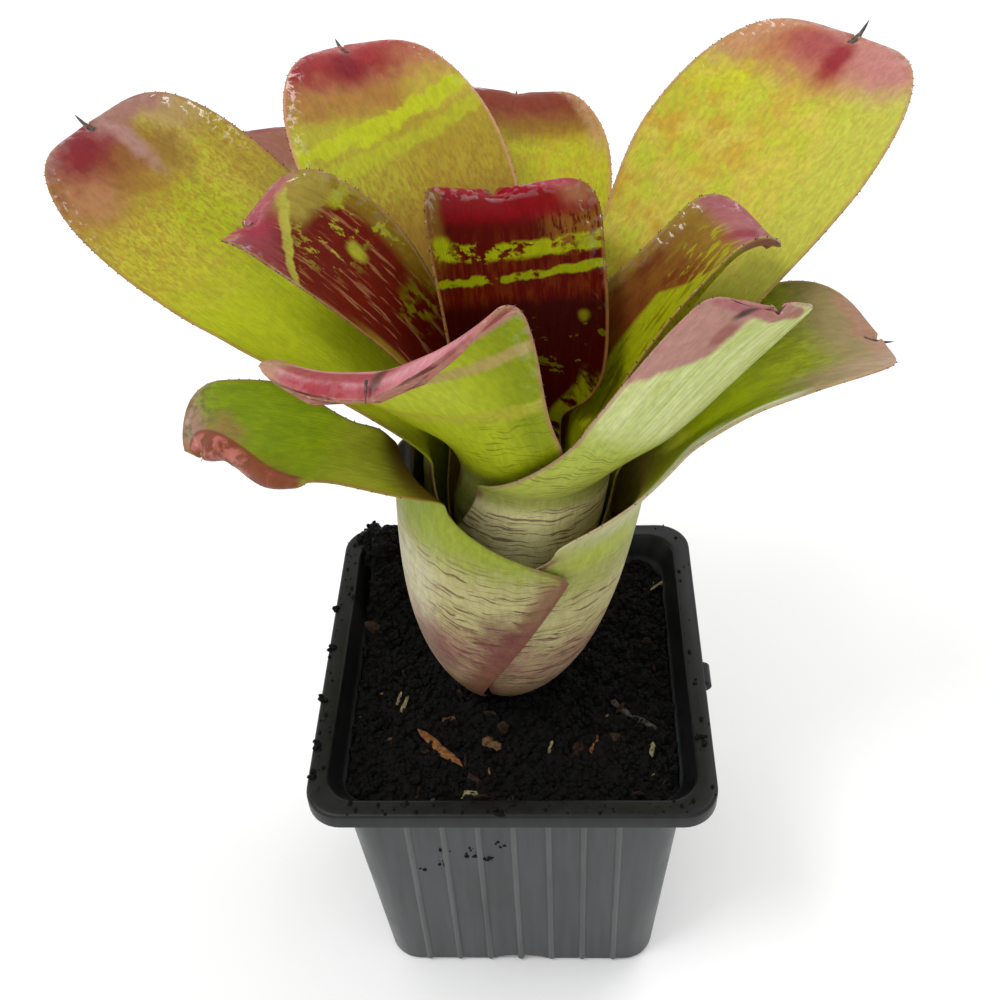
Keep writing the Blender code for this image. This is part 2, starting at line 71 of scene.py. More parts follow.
def feed(tree, node, inputs):
    """Sets inputs of a node, or joins them to other sockets."""
    for name, value in inputs.items():
        if isinstance(value, bpy.types.NodeSocket):
            tree.links.new(value, node.inputs[name])
        else:
            node.inputs[name].default_value = value


def place(tree, kind, inputs=None, **settings):
    """A new node in a tree, with its settings and inputs."""
    node = tree.nodes.new(kind)
    for name, value in settings.items():
        setattr(node, name, value)
    feed(tree, node, inputs or {})
    return node


def remap(tree, value, before, after=(0.0, 1.0)):
    """A value moved from one range to another and held inside it."""
    return place(tree, "ShaderNodeMapRange", {"Value": value, "From Min": before[0], "From Max": before[1],
                 "To Min": after[0], "To Max": after[1]}).outputs[0]


def new_material(name):
    material = bpy.data.materials.new(name)
    material.use_nodes = True
    return material, material.node_tree, material.node_tree.nodes["Principled BSDF"]


def aim_camera():
    ahead = Vector((-math.sin(CAMERA_YAW), math.cos(CAMERA_YAW), 0))
    level = Vector((math.cos(CAMERA_YAW), math.sin(CAMERA_YAW), 0))
    look = ahead * math.cos(CAMERA_PITCH) - Vector((0, 0, math.sin(CAMERA_PITCH)))
    down = -ahead * math.sin(CAMERA_PITCH) - Vector((0, 0, math.cos(CAMERA_PITCH)))
    right = level * math.cos(CAMERA_ROLL) + down * math.sin(CAMERA_ROLL)
    down = down * math.cos(CAMERA_ROLL) - level * math.sin(CAMERA_ROLL)
    data = bpy.data.cameras.new("phone")
    data.lens = CAMERA_LENS
    data.sensor_width = CAMERA_SENSOR
    data.clip_start = 0.01
    camera = bpy.data.objects.new("phone", data)
    turn = Matrix((right, -down, -look)).transposed().to_4x4()
    camera.matrix_world = Matrix.Translation(CAMERA_PLACE) @ turn
    bpy.context.scene.collection.objects.link(camera)
    bpy.context.scene.camera = camera


def add_light(name, where, size, power):
    data = bpy.data.lights.new(name, "AREA")
    data.shape = "RECTANGLE"
    data.size = size[0]
    data.size_y = size[1]
    data.energy = power
    light = bpy.data.objects.new(name, data)
    light.location = where
    light.rotation_euler = (LIGHT_AIM - Vector(where)).to_track_quat("-Z", "Y").to_euler()
    bpy.context.scene.collection.objects.link(light)


aim_camera()
add_light("window", WINDOW_PLACE, WINDOW_SIZE, WINDOW_POWER)
add_light("ceiling", CEILING_PLACE, CEILING_SIZE, CEILING_POWER)

world = bpy.data.worlds.new("daylight")
world.use_nodes = True
world.node_tree.nodes["Background"].inputs["Color"].default_value = SKY_COLOUR
world.node_tree.nodes["Background"].inputs["Strength"].default_value = SKY_STRENGTH
bpy.context.scene.world = world
bpy.context.scene.view_settings.view_transform = "Standard"

bm = bmesh.new()
bmesh.ops.create_grid(bm, x_segments=1, y_segments=1, size=TABLE_HALF)
table_mesh = bpy.data.meshes.new("table_top")
bm.to_mesh(table_mesh)
bm.free()
table_top = bpy.data.objects.new("table_top", table_mesh)
bpy.context.scene.collection.objects.link(table_top)
material, tree, shader = new_material("white_laminate")
grain = place(tree, "ShaderNodeTexNoise", {"Scale": 60.0, "Detail": 2.0})
spread = remap(tree, grain.outputs["Fac"], (0.0, 1.0), (0.42, 0.50))
feed(tree, shader, {"Roughness": spread, "Base Color": WHITE_TABLE})
table_mesh.materials.append(material)


# Pot
# A thin nursery pot, injection moulded in black polypropylene: a tapered square box with round
# corners, a flat rim turned down into a skirt, fine ribs on the walls and a scalloped foot.
POT_WIDTH = 0.090
POT_HEIGHT = 0.0825
POT_FOOT_WIDTH = 0.0692
POT_NECK_WIDTH = 0.0782
POT_WALL = 0.0012
POT_CORNER = 0.008
RIM_BAND = 0.0045
RIM_SKIRT = 0.0045
RIM_ROUND = 0.0008
RIBS_A_SIDE = 7
RIB_PITCH = 0.008
RIB_WIDTH = 0.0018
RIB_HEIGHT = 0.0005
NOTCH_WIDTH = 0.014
NOTCH_HEIGHT = 0.0025
NOTCH_DEPTH = 0.004
DRAIN_RADIUS = 0.0035
DRAIN_OFFSET = 0.018
LUG_LENGTH = 0.007
LUG_RADIUS = 0.0016
LUG_PLACE = -0.005
CORNER_STEPS = 10
# The walls' colour below the rim: partly dust, partly a painted sheen of the light on them.
WALL_DUST_AND_SHEEN = (0.048, 0.055, 0.057, 1)
# The ribs' lighter grey below the rim: partly dust and partly a painted highlight along each rib.
RIB_DUST_AND_HIGHLIGHT = (0.088, 0.095, 0.094, 1)


def wall_half(height):
    """Half the pot's outer width at a height, below the rim."""
    neck = POT_HEIGHT - RIM_SKIRT
    return (POT_FOOT_WIDTH + (POT_NECK_WIDTH - POT_FOOT_WIDTH) * height / neck) / 2


def rounded_square(half, corner, height):
    points = []
    for quarter in range(4):
        start = quarter * math.pi / 2
        middle = Matrix.Rotation(start, 3, "Z") @ Vector((half - corner, half - corner, 0))
        for step in range(CORNER_STEPS + 1):
            angle = start + step / CORNER_STEPS * math.pi / 2
            points.append(middle + Vector((corner * math.cos(angle), corner * math.sin(angle), height)))
    return points


def loft_squares(stations):
    """A closed solid through level rounded squares, each given as half width, corner and height."""
    bm = bmesh.new()
    loops = []
    for half, corner, height in stations:
        loops.append([bm.verts.new(point) for point in rounded_square(half, corner, height)])
    for lower, upper in zip(loops, loops[1:]):
        for index in range(len(lower)):
            after = (index + 1) % len(lower)
            bm.faces.new((lower[index], lower[after], upper[after], upper[index]))
    bm.faces.new(list(reversed(loops[0])))
    bm.faces.new(loops[-1])
    return bm


def new_piece(name, bm, smooth_angle=None):
    """An object from a bmesh, with its faces pointing out."""
    bmesh.ops.recalc_face_normals(bm, faces=bm.faces)
    mesh = bpy.data.meshes.new(name)
    bm.to_mesh(mesh)
    bm.free()
    if smooth_angle is not None:
        mesh.shade_smooth()
        mesh.set_sharp_from_angle(angle=math.radians(smooth_angle))
    piece = bpy.data.objects.new(name, mesh)
    bpy.context.scene.collection.objects.link(piece)
    return piece


def settle(piece):
    """Turns a piece's modifiers into a plain mesh."""
    graph = bpy.context.evaluated_depsgraph_get()
    mesh = bpy.data.meshes.new_from_object(piece.evaluated_get(graph), depsgraph=graph)
    piece.modifiers.clear()
    piece.data = mesh


def pot_profile():
    """Half width, corner radius and height, up the outside, over the rim and down the inside."""
    half = POT_WIDTH / 2
    neck = POT_HEIGHT - RIM_SKIRT
    inner_corner = POT_CORNER - POT_WALL
    stations = [(wall_half(0) - RIM_ROUND, POT_CORNER, 0.0), (wall_half(0), POT_CORNER, RIM_ROUND)]
    stations += [(wall_half(neck), POT_CORNER, neck), (half - RIM_ROUND / 2, POT_CORNER, neck)]
    stations += [(half, POT_CORNER, neck + RIM_ROUND / 2)]
    for step in range(5):
        angle = step / 4 * math.pi / 2
        stations.append((half - RIM_ROUND * (1 - math.cos(angle)), POT_CORNER,
                         POT_HEIGHT - RIM_ROUND * (1 - math.sin(angle))))
    for step in range(4):
        angle = step / 3 * math.pi / 2
        stations.append((half - RIM_BAND + RIM_ROUND * (1 - math.sin(angle)), inner_corner,
                         POT_HEIGHT - RIM_ROUND * (1 - math.cos(angle))))
    stations += [(wall_half(neck) - POT_WALL, inner_corner, neck - RIM_ROUND)]
    stations += [(wall_half(0) - POT_WALL, inner_corner, POT_WALL)]
    return stations


def cut(piece, bm):
    """Cuts the shape in a bmesh out of a piece."""
    cutter = new_piece("cutter", bm)
    modifier = piece.modifiers.new("cut", "BOOLEAN")
    modifier.operation = "DIFFERENCE"
    modifier.solver = "EXACT"
    modifier.object = cutter
    settle(piece)
    bpy.data.objects.remove(cutter, do_unlink=True)


def foot_openings():
    """Round drain holes in the floor and a shallow arch in the foot of each wall."""
    bm = bmesh.new()
    for sign_x in (-1, 1):
        for sign_y in (-1, 1):
            hole = bmesh.ops.create_cone(bm, cap_ends=True, segments=32, radius1=DRAIN_RADIUS,
                                         radius2=DRAIN_RADIUS, depth=4 * POT_WALL)["verts"]
            where = Vector((sign_x * DRAIN_OFFSET, sign_y * DRAIN_OFFSET, 0))
            bmesh.ops.translate(bm, vec=where, verts=hole)
    for side in range(4):
        arch = bmesh.ops.create_cone(bm, cap_ends=True, segments=48, radius1=NOTCH_WIDTH / 2,
                                     radius2=NOTCH_WIDTH / 2, depth=NOTCH_DEPTH)["verts"]
        flatten = Matrix.Diagonal((1, NOTCH_HEIGHT / (NOTCH_WIDTH / 2), 1, 1))
        lay = Matrix.Rotation(math.pi / 2, 4, "X")
        shift = Matrix.Translation((0, -wall_half(0), 0))
        bmesh.ops.transform(bm, matrix=Matrix.Rotation(side * math.pi / 2, 4, "Z") @ shift @ lay @ flatten,
                            verts=arch)
    return bm


def geometry_tree(name, inputs):
    """An empty geometry tree with a mesh in and a mesh out, and named inputs for its sizes."""
    tree = bpy.data.node_groups.new(name, "GeometryNodeTree")
    tree.interface.new_socket("Geometry", in_out="OUTPUT", socket_type="NodeSocketGeometry")
    tree.interface.new_socket("Geometry", in_out="INPUT", socket_type="NodeSocketGeometry")
    for label, kind in inputs:
        tree.interface.new_socket(label, in_out="INPUT", socket_type=kind)
    return tree, tree.nodes.new("NodeGroupInput"), tree.nodes.new("NodeGroupOutput")


def grow(piece, tree, values):
    """Runs a geometry tree on a piece with the named values, and keeps the result as a mesh."""
    modifier = piece.modifiers.new(tree.name, "NODES")
    modifier.node_group = tree
    for item in tree.interface.items_tree:
        if item.name in values:
            modifier[item.identifier] = values[item.name]
    settle(piece)


def calc(tree, operation, first, second):
    """The result of a sum of two numbers or sockets."""
    return place(tree, "ShaderNodeMath", {0: first, 1: second}, operation=operation).outputs[0]


def rib_tree():
    """Copies one rib along a wall at an even pitch, and the row onto all four walls."""
    tree, given, result = geometry_tree("pot_rib_rows", (
        ("Ribs", "NodeSocketInt"), ("Pitch", "NodeSocketFloat"), ("Material", "NodeSocketMaterial")))
    gaps = calc(tree, "SUBTRACT", given.outputs["Ribs"], 1.0)
    reach = calc(tree, "MULTIPLY", gaps, given.outputs["Pitch"])
    start = calc(tree, "MULTIPLY", reach, -0.5)
    first = place(tree, "ShaderNodeCombineXYZ", {"X": start})
    step = place(tree, "ShaderNodeCombineXYZ", {"X": given.outputs["Pitch"]})
    line = place(tree, "GeometryNodeMeshLine", {"Count": given.outputs["Ribs"],
                 "Start Location": first.outputs[0], "Offset": step.outputs[0]}, mode="OFFSET")
    row = place(tree, "GeometryNodeInstanceOnPoints", {"Points": line.outputs[0],
                "Instance": given.outputs["Geometry"]})
    whole = place(tree, "GeometryNodeRealizeInstances", {0: row.outputs[0]})
    walls = place(tree, "GeometryNodeJoinGeometry")
    for side in range(4):
        turned = place(tree, "GeometryNodeTransform", {"Geometry": whole.outputs[0],
                       "Rotation": (0, 0, side * math.pi / 2)})
        tree.links.new(turned.outputs[0], walls.inputs[0])
    real = place(tree, "GeometryNodeRealizeInstances", {0: walls.outputs[0]})
    clad = place(tree, "GeometryNodeSetMaterial", {"Geometry": real.outputs[0],
                 "Material": given.outputs["Material"]})
    tree.links.new(clad.outputs[0], result.inputs[0])
    return tree


def one_rib():
    """The middle rib of the front wall: a low strip with a round back, sunk into the wall."""
    bm = bmesh.new()
    top = POT_HEIGHT - RIM_SKIRT - RIB_HEIGHT
    foot = POT_WALL
    sides = 7
    rows = []
    for height in (foot, top):
        ring = []
        for step in range(sides):
            angle = math.pi * step / (sides - 1)
            ring.append(bm.verts.new((math.cos(angle) * RIB_WIDTH / 2,
                                      -wall_half(height) + POT_WALL / 4 - math.sin(angle)
                                      * (RIB_HEIGHT + POT_WALL / 4), height)))
        rows.append(ring)
    lower, upper = rows
    for index in range(sides):
        after = (index + 1) % sides
        bm.faces.new((lower[index], lower[after], upper[after], upper[index]))
    bm.faces.new(lower)
    bm.faces.new(upper)
    return bm


def set_ramp(ramp, low, high):
    """Gives a colour ramp its two stops, each a position and a colour."""
    for stop, (position, colour) in zip(ramp.color_ramp.elements, (low, high)):
        stop.position = position
        stop.color = colour


def black_plastic(name, dust_and_sheen):
    """Moulded black plastic with a faint grain, greyer below the rim: partly dust, partly a painted sheen
    of light.
    """
    material, tree, shader = new_material(name)
    here = place(tree, "ShaderNodeTexCoord").outputs["Object"]
    cloud = place(tree, "ShaderNodeTexNoise", {"Vector": here, "Scale": 70.0, "Detail": 4.0})
    drawn = place(tree, "ShaderNodeMapping", {"Vector": here, "Scale": (420.0, 420.0, 9.0)})
    streak = place(tree, "ShaderNodeTexNoise", {"Vector": drawn.outputs[0], "Scale": 1.0, "Detail": 3.0})
    blend = place(tree, "ShaderNodeMix", {0: 0.5, 2: cloud.outputs["Fac"], 3: streak.outputs["Fac"]})
    ramp = place(tree, "ShaderNodeValToRGB", {"Fac": blend.outputs[0]})
    set_ramp(ramp, (0.35, (0.0035, 0.0040, 0.0042, 1)), (0.70, (0.0110, 0.0125, 0.0120, 1)))
    # Below the rim the colour turns greyer, partly dust and partly painted sheen.
    height = place(tree, "ShaderNodeSeparateXYZ", {0: here}).outputs["Z"]
    below = remap(tree, height, (POT_HEIGHT - RIM_SKIRT, POT_HEIGHT - RIM_SKIRT - 0.001))
    dust_and_sheen_spread = remap(tree, blend.outputs[0], (0.30, 0.70), (0.35, 1.15))
    dust_and_sheen_mask = calc(tree, "MULTIPLY", below, dust_and_sheen_spread)
    colour = place(tree, "ShaderNodeMix", {0: dust_and_sheen_mask, 6: ramp.outputs["Color"], 7: dust_and_sheen}, data_type="RGBA")
    rough = remap(tree, cloud.outputs["Fac"], (0.3, 0.7), (0.30, 0.46))
    grain = place(tree, "ShaderNodeTexNoise", {"Vector": here, "Scale": 2600.0, "Detail": 2.0})
    bump = place(tree, "ShaderNodeBump", {"Height": grain.outputs["Fac"], "Strength": 0.12,
                 "Distance": 0.0001})
    feed(tree, shader, {"Base Color": colour.outputs[2], "Specular IOR Level": 0.26, "Roughness": rough,
                        "Normal": bump.outputs[0]})
    return material


plastic = black_plastic("pot_plastic", WALL_DUST_AND_SHEEN)
pot = new_piece("pot_shell", loft_squares(pot_profile()))
cut(pot, foot_openings())
pot.data.shade_smooth()
pot.data.set_sharp_from_angle(angle=math.radians(35))
pot.data.materials.clear()
pot.data.materials.append(plastic)
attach(pot, "root")
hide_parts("pot")

ribs = new_piece("pot_ribs", one_rib(), smooth_angle=50)
# The ribs take a lighter grey below the rim, partly dust and partly a painted highlight.
highlit_ribs = black_plastic("highlit_rib_plastic", RIB_DUST_AND_HIGHLIGHT)
grow(ribs, rib_tree(), {"Ribs": RIBS_A_SIDE, "Pitch": RIB_PITCH, "Material": highlit_ribs})
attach(ribs, "root")

bm = bmesh.new()
bmesh.ops.create_cone(bm, cap_ends=True, segments=24, radius1=LUG_RADIUS, radius2=LUG_RADIUS,
                      depth=LUG_LENGTH)
bmesh.ops.bevel(bm, geom=[edge for edge in bm.edges if edge.calc_face_angle(0) > 1.0],
                offset=LUG_RADIUS / 3, segments=3, affect="EDGES")
lie = Matrix.Translation((POT_WIDTH / 2, LUG_PLACE, POT_HEIGHT - RIM_SKIRT / 2))
bmesh.ops.transform(bm, matrix=lie @ Matrix.Rotation(math.pi / 2, 4, "X"), verts=bm.verts)
lug = new_piece("rim_lug", bm, smooth_angle=40)
lug.data.materials.append(plastic)
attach(lug, "root")


# Soil
# Black peat mix filled to just under the rim, heaped against the back left corner where some
# has spilt over, with bark chips, splinters and fibres lying on it.
SOIL_LEVEL = 0.0755
SOIL_ROUGHNESS = 0.0009
SOIL_WAVES = (610, 430, 730, 260, 1330, 990)
SOIL_HEAP = 0.0060
SOIL_HEAP_PLACE = 0.036
SOIL_MOUND = 0.0012
MOUND_REACH = 0.030
SOIL_GRAIN = 0.0011
SOIL_CELLS = 130
SOIL_INSET = 0.0004
AXIS_X = -0.003
CRUMB_DENSITY = 900000.0
CRUMB_SIZE = 0.00055
CHIP_DENSITY = 9000.0
CHIP_SIZE = 0.00080
FLECK_DENSITY = 14000.0
FLECK_SIZE = 0.00028
SPILLS = (((-0.0352, 0.0395, 0.0800), (0.0064, 0.0066, 0.0048)),
          ((-0.0305, 0.0430, 0.0800), (0.0050, 0.0030, 0.0030)))
RIM_DIRT = 150
RIM_DIRT_SIDES = (0, 0, 0, 1, 2, 3, 3)
RIM_DIRT_CLEAR = 0.003
RIM_DIRT_SPREAD = (-0.0018, 0.0020)
CLOD_SIZE = (0.0007, 0.0006, 0.0005)
CLOD_SCATTER = (0.0010, 0.0012)
RIM_CLODS = ((-0.0443, 0.0019), (-0.0443, -0.0261), (-0.0445, -0.0130), (-0.0444, 0.0150),
             (-0.0445, -0.0340), (-0.0022, -0.0436), (0.0421, -0.0251))
WALL_CLODS = ((-0.0160, 0.0584), (-0.0103, 0.0561), (-0.0032, 0.0608), (-0.0226, 0.0489),
              (-0.0090, 0.0584), (-0.0172, 0.0520), (-0.0060, 0.0535))


def smooth_step(value):
    value = min(max(value, 0.0), 1.0)
    return value * value * (3.0 - 2.0 * value)


def soil_height(x, y):
    """The rough top of the soil, heaped against the back left corner."""
    first, second, third, fourth, fifth, sixth = SOIL_WAVES
    rough = (math.sin(x * first + 1.3 * math.sin(y * second)) + math.sin(y * third + x * fourth)
             + 0.7 * math.sin(x * fifth - y * sixth)) * SOIL_ROUGHNESS / 2
    corner = math.hypot(x + SOIL_HEAP_PLACE, y - SOIL_HEAP_PLACE)
    heap = SOIL_HEAP * smooth_step(1 - corner / MOUND_REACH)
    near_plant = math.hypot(x - AXIS_X, y)
    mound = SOIL_MOUND * smooth_step(1 - near_plant / MOUND_REACH)
    grain = noise.fractal(Vector((x, y, 0)) * 420, 0.9, 2.1, 4) * SOIL_GRAIN
    return SOIL_LEVEL + rough + heap + mound + grain


def inside_corner(x, y, half, corner):
    """Draws a point of a square in to the square's round corner."""
    over = Vector((abs(x) - half + corner, abs(y) - half + corner))
    if over.x <= 0 or over.y <= 0 or over.length <= corner:
        return x, y
    over = over.normalized() * corner
    return math.copysign(half - corner + over.x, x), math.copysign(half - corner + over.y, y)


def skirt_order(face):
    """Leaves the top and the floor as they are, and puts the skirt's faces in order round the pot."""
    flat = 2 * SOIL_CELLS ** 2
    middle = face.calc_center_median()
    return face.index if face.index < flat else flat + math.pi + math.atan2(middle.y, middle.x)


def soil_solid():
    """A fine grid for the top of the soil, its skirt following the pot's inner wall, and a floor."""
    half = POT_WIDTH / 2 - RIM_BAND - SOIL_INSET
    corner = POT_CORNER - POT_WALL
    bm = bmesh.new()
    bmesh.ops.create_grid(bm, x_segments=SOIL_CELLS, y_segments=SOIL_CELLS, size=half)
    for vertex in bm.verts:
        x, y = inside_corner(vertex.co.x, vertex.co.y, half, corner)
        height = soil_height(x, y)
        shrink = (wall_half(min(height, POT_HEIGHT - RIM_SKIRT)) - POT_WALL - SOIL_INSET) / half
        vertex.co = (x * shrink, y * shrink, height)
    made = bmesh.ops.extrude_face_region(bm, geom=bm.faces[:])["geom"]
    floor_half = wall_half(POT_WALL) - POT_WALL - SOIL_INSET
    for item in made:
        if isinstance(item, bmesh.types.BMVert):
            item.co.x *= floor_half / half
            item.co.y *= floor_half / half
            item.co.z = POT_WALL + SOIL_INSET
    bm.faces.index_update()
    bm.faces.sort(key=skirt_order)
    return bm


def crumb_tree():
    """Scatters rough crumbs over the faces that look up, thicker or thinner by the density."""
    tree, given, result = geometry_tree("soil_crumbs", (
        ("Density", "NodeSocketFloat"), ("Size", "NodeSocketFloat"), ("Flatness", "NodeSocketFloat"),
        ("Length", "NodeSocketFloat"), ("Seed", "NodeSocketInt"), ("Material", "NodeSocketMaterial"),
        ("Keep Ground", "NodeSocketBool")))
    normal = place(tree, "GeometryNodeInputNormal")
    parts = place(tree, "ShaderNodeSeparateXYZ", {0: normal.outputs[0]})
    upward = calc(tree, "GREATER_THAN", parts.outputs["Z"], 0.35)
    density = calc(tree, "MULTIPLY", upward, given.outputs["Density"])
    points = place(tree, "GeometryNodeDistributePointsOnFaces", {"Mesh": given.outputs["Geometry"],
                   "Density": density, "Seed": given.outputs["Seed"]},
                   distribute_method="RANDOM")
    ball = place(tree, "GeometryNodeMeshIcoSphere", {"Radius": 1.0, "Subdivisions": 1})
    spin = place(tree, "FunctionNodeRandomValue", {0: (-3.1, -3.1, -3.1), 1: (3.1, 3.1, 3.1),
                 "Seed": given.outputs["Seed"]}, data_type="FLOAT_VECTOR")
    sizes = place(tree, "FunctionNodeRandomValue", {2: 0.35, 3: 1.6, "Seed": given.outputs["Seed"]},
                  data_type="FLOAT")
    cubed = calc(tree, "POWER", sizes.outputs[1], 1.6)
    size = calc(tree, "MULTIPLY", cubed, given.outputs["Size"])
    long = calc(tree, "MULTIPLY", size, given.outputs["Length"])
    flat = calc(tree, "MULTIPLY", size, given.outputs["Flatness"])
    scale = place(tree, "ShaderNodeCombineXYZ", {"X": long, "Y": size,
                  "Z": flat})
    crumbs = place(tree, "GeometryNodeInstanceOnPoints", {"Points": points.outputs["Points"],
                   "Instance": ball.outputs["Mesh"], "Rotation": spin.outputs[0],
                   "Scale": scale.outputs[0]})
    real = place(tree, "GeometryNodeRealizeInstances", {0: crumbs.outputs[0]})
    clad = place(tree, "GeometryNodeSetMaterial", {"Geometry": real.outputs[0],
                 "Material": given.outputs["Material"]})
    joined = place(tree, "GeometryNodeJoinGeometry")
    tree.links.new(clad.outputs[0], joined.inputs[0])
    tree.links.new(given.outputs["Geometry"], joined.inputs[0])
    choice = place(tree, "GeometryNodeSwitch", {0: given.outputs["Keep Ground"],
                   "False": clad.outputs[0], "True": joined.outputs[0]}, input_type="GEOMETRY")
    tree.links.new(choice.outputs[0], result.inputs[0])
    return tree


def tint(red, green, blue):
    """A colour as it looks in this light, from 0 to 255, turned into the colour of the surface."""
    return tuple(DAYLIGHT * (value / 255) ** 2.2 for value in (red, green, blue)) + (1.0,)


def dark_earth(name, low, high, scale, sheen_rough):
    """Damp peat or bark: two close colours in a cloud, rough, with a fine crumbly bump."""
    material, tree, shader = new_material(name)
    here = place(tree, "ShaderNodeTexCoord").outputs["Object"]
    cloud = place(tree, "ShaderNodeTexNoise", {"Vector": here, "Scale": scale, "Detail": 6.0,
                  "Roughness": 0.7})
    ramp = place(tree, "ShaderNodeValToRGB", {"Fac": cloud.outputs["Fac"]})
    set_ramp(ramp, (0.38, low), (0.68, high))
    rough = remap(tree, cloud.outputs["Fac"], (0.3, 0.7), (sheen_rough, 0.95))
    bump = place(tree, "ShaderNodeBump", {"Height": cloud.outputs["Fac"], "Strength": 0.8,
                 "Distance": 0.0006})
    feed(tree, shader, {"Base Color": ramp.outputs["Color"], "Roughness": rough, "Specular IOR Level": 0.15,
                        "Normal": bump.outputs[0]})
    return material


peat = dark_earth("peat", (0.0008, 0.0007, 0.0006, 1), (0.0045, 0.0036, 0.0028, 1), 900.0, 0.50)
bark = dark_earth("bark", (0.010, 0.006, 0.004, 1), (0.060, 0.030, 0.015, 1), 700.0, 0.6)
straw = dark_earth("splinter_wood", (0.05, 0.030, 0.016, 1), (0.24, 0.14, 0.07, 1), 500.0, 0.5)

crumbs = crumb_tree()
soil = new_piece("soil_fill", soil_solid(), smooth_angle=60)
soil.data.materials.append(peat)
grow(soil, crumbs, {"Density": CRUMB_DENSITY, "Size": CRUMB_SIZE, "Flatness": 0.8, "Length": 1.3,
                    "Seed": 3, "Material": peat, "Keep Ground": True})
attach(soil, "root")
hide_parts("soil")

for name, density, size, flat, material in (("soil_bark", CHIP_DENSITY, CHIP_SIZE, 0.45, bark),
                                            ("soil_flecks", FLECK_DENSITY, FLECK_SIZE, 0.6, straw)):
    piece = new_piece(name, soil_solid())
    grow(piece, crumbs, {"Density": density, "Size": size, "Flatness": flat, "Length": 2.2, "Seed": 11,
                         "Material": material, "Keep Ground": False})
    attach(piece, "root")


def lump(bm, where, size, seed, detail=1):
    """A small rough clod."""
    made = bmesh.ops.create_icosphere(bm, subdivisions=detail, radius=1)["verts"]
    for vertex in made:
        swell = 1 + 0.45 * noise.noise(vertex.co * 1.7 + Vector((seed * 5.1, 0, seed)))
        swell += 0.25 * noise.noise(vertex.co * 5.0 + Vector((0, seed * 3.7, 0)))
        vertex.co = Vector(where) + Vector([vertex.co[axis] * size[axis] * swell for axis in range(3)])
    return made


def sliver(bm, start, end, width, thick, lift, seed):
    """A splinter or flake of wood lying from start to end on the soil, with broken ends."""
    ends = [Vector((x, y, soil_height(x, y) + lift)) for x, y in (start, end)]
    along = ends[1] - ends[0]
    side = along.cross(Vector((0, 0, 1))).normalized()
    up = side.cross(along).normalized()
    rings, sides = 9, 8
    previous = None
    for ring in range(rings):
        share = ring / (rings - 1)
        fat = 0.75 + 0.5 * noise.noise(Vector((share * 4, seed * 9.1, 0)))
        fat = fat * (1 - abs(2 * share - 1) ** 5) + 0.08
        sway = side * width * 0.25 * noise.noise(Vector((share * 2.5, 0, seed * 4.3)))
        loop = []
        for step in range(sides):
            angle = step * 2 * math.pi / sides
            rough = 1 + 0.22 * noise.noise(Vector((math.cos(angle) * 2, share * 9, seed * 2.7)))
            loop.append(bm.verts.new(ends[0] + along * share + sway
                                     + side * math.cos(angle) * width / 2 * fat * rough
                                     + up * math.sin(angle) * thick / 2 * fat * rough))
        if previous:
            for step in range(sides):
                after = (step + 1) % sides
                bm.faces.new((previous[step], previous[after], loop[after], loop[step]))
        else:
            bm.faces.new(list(reversed(loop)))
        previous = loop
    bm.faces.new(previous)


LITTER = (
    ("orange_splinters", "orange_wood", (84, 54, 32), (160, 108, 62), 600.0, 0.5, (
        ((-0.0222, -0.0174), (-0.0114, -0.0278), 0.0026, 0.0012, 0.0008),
        ((0.0180, -0.0236), (0.0196, -0.0182), 0.0015, 0.0008, 0.0006))),
    ("tan_chips", "tan_wood", (66, 50, 34), (128, 98, 64), 700.0, 0.6, (
        ((-0.0168, -0.0139), (-0.0134, -0.0151), 0.0028, 0.0010, 0.0007),
        ((-0.0070, -0.0203), (-0.0026, -0.0225), 0.0030, 0.0011, 0.0007))),
    ("straw_and_flakes", "pale_fibre", (92, 86, 60), (166, 156, 114), 800.0, 0.6, (
        ((-0.0268, -0.0136), (-0.0254, -0.0070), 0.0011, 0.0006, 0.0008),
        ((-0.0281, -0.0112), (-0.0270, -0.0066), 0.0008, 0.0005, 0.0008),
        ((-0.0122, -0.0344), (-0.0076, -0.0356), 0.0026, 0.0007, 0.0008),
        ((0.0082, -0.0241), (0.0091, -0.0205), 0.0010, 0.0006, 0.0006),
        ((0.0316, -0.0258), (0.0321, -0.0217), 0.0013, 0.0009, 0.0009),
        ((0.0345, 0.0261), (0.0400, 0.0314), 0.0009, 0.0005, 0.0008),
        ((0.0352, 0.0296), (0.0388, 0.0290), 0.0006, 0.0004, 0.0008))),
    ("grey_twigs", "grey_twig", (36, 34, 32), (92, 86, 80), 700.0, 0.6, (
        ((0.0228, -0.0094), (0.0283, -0.0138), 0.0022, 0.0018, 0.0006),
        ((0.0272, -0.0126), (0.0340, -0.0182), 0.0018, 0.0016, 0.0006))))

seed = 0
for name, wood, low, high, scale, dull, slivers in LITTER:
    bm = bmesh.new()
    for start, end, width, thick, lift in slivers:
        seed += 1
        sliver(bm, start, end, width, thick, lift, seed)
    piece = new_piece(name, bm, smooth_angle=50)
    piece.data.materials.append(dark_earth(wood, tint(*low), tint(*high), scale, dull))
    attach(piece, "root")

bm = bmesh.new()
for number, (where, size) in enumerate(SPILLS, 1):
    lump(bm, where, size, number, detail=4)
spill = new_piece("soil_spill", bm, smooth_angle=60)
spill.data.materials.append(peat)
grow(spill, crumbs, {"Density": CRUMB_DENSITY, "Size": CRUMB_SIZE, "Flatness": 0.8, "Length": 1.3,
                     "Seed": 5, "Material": peat, "Keep Ground": True})
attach(spill, "root")

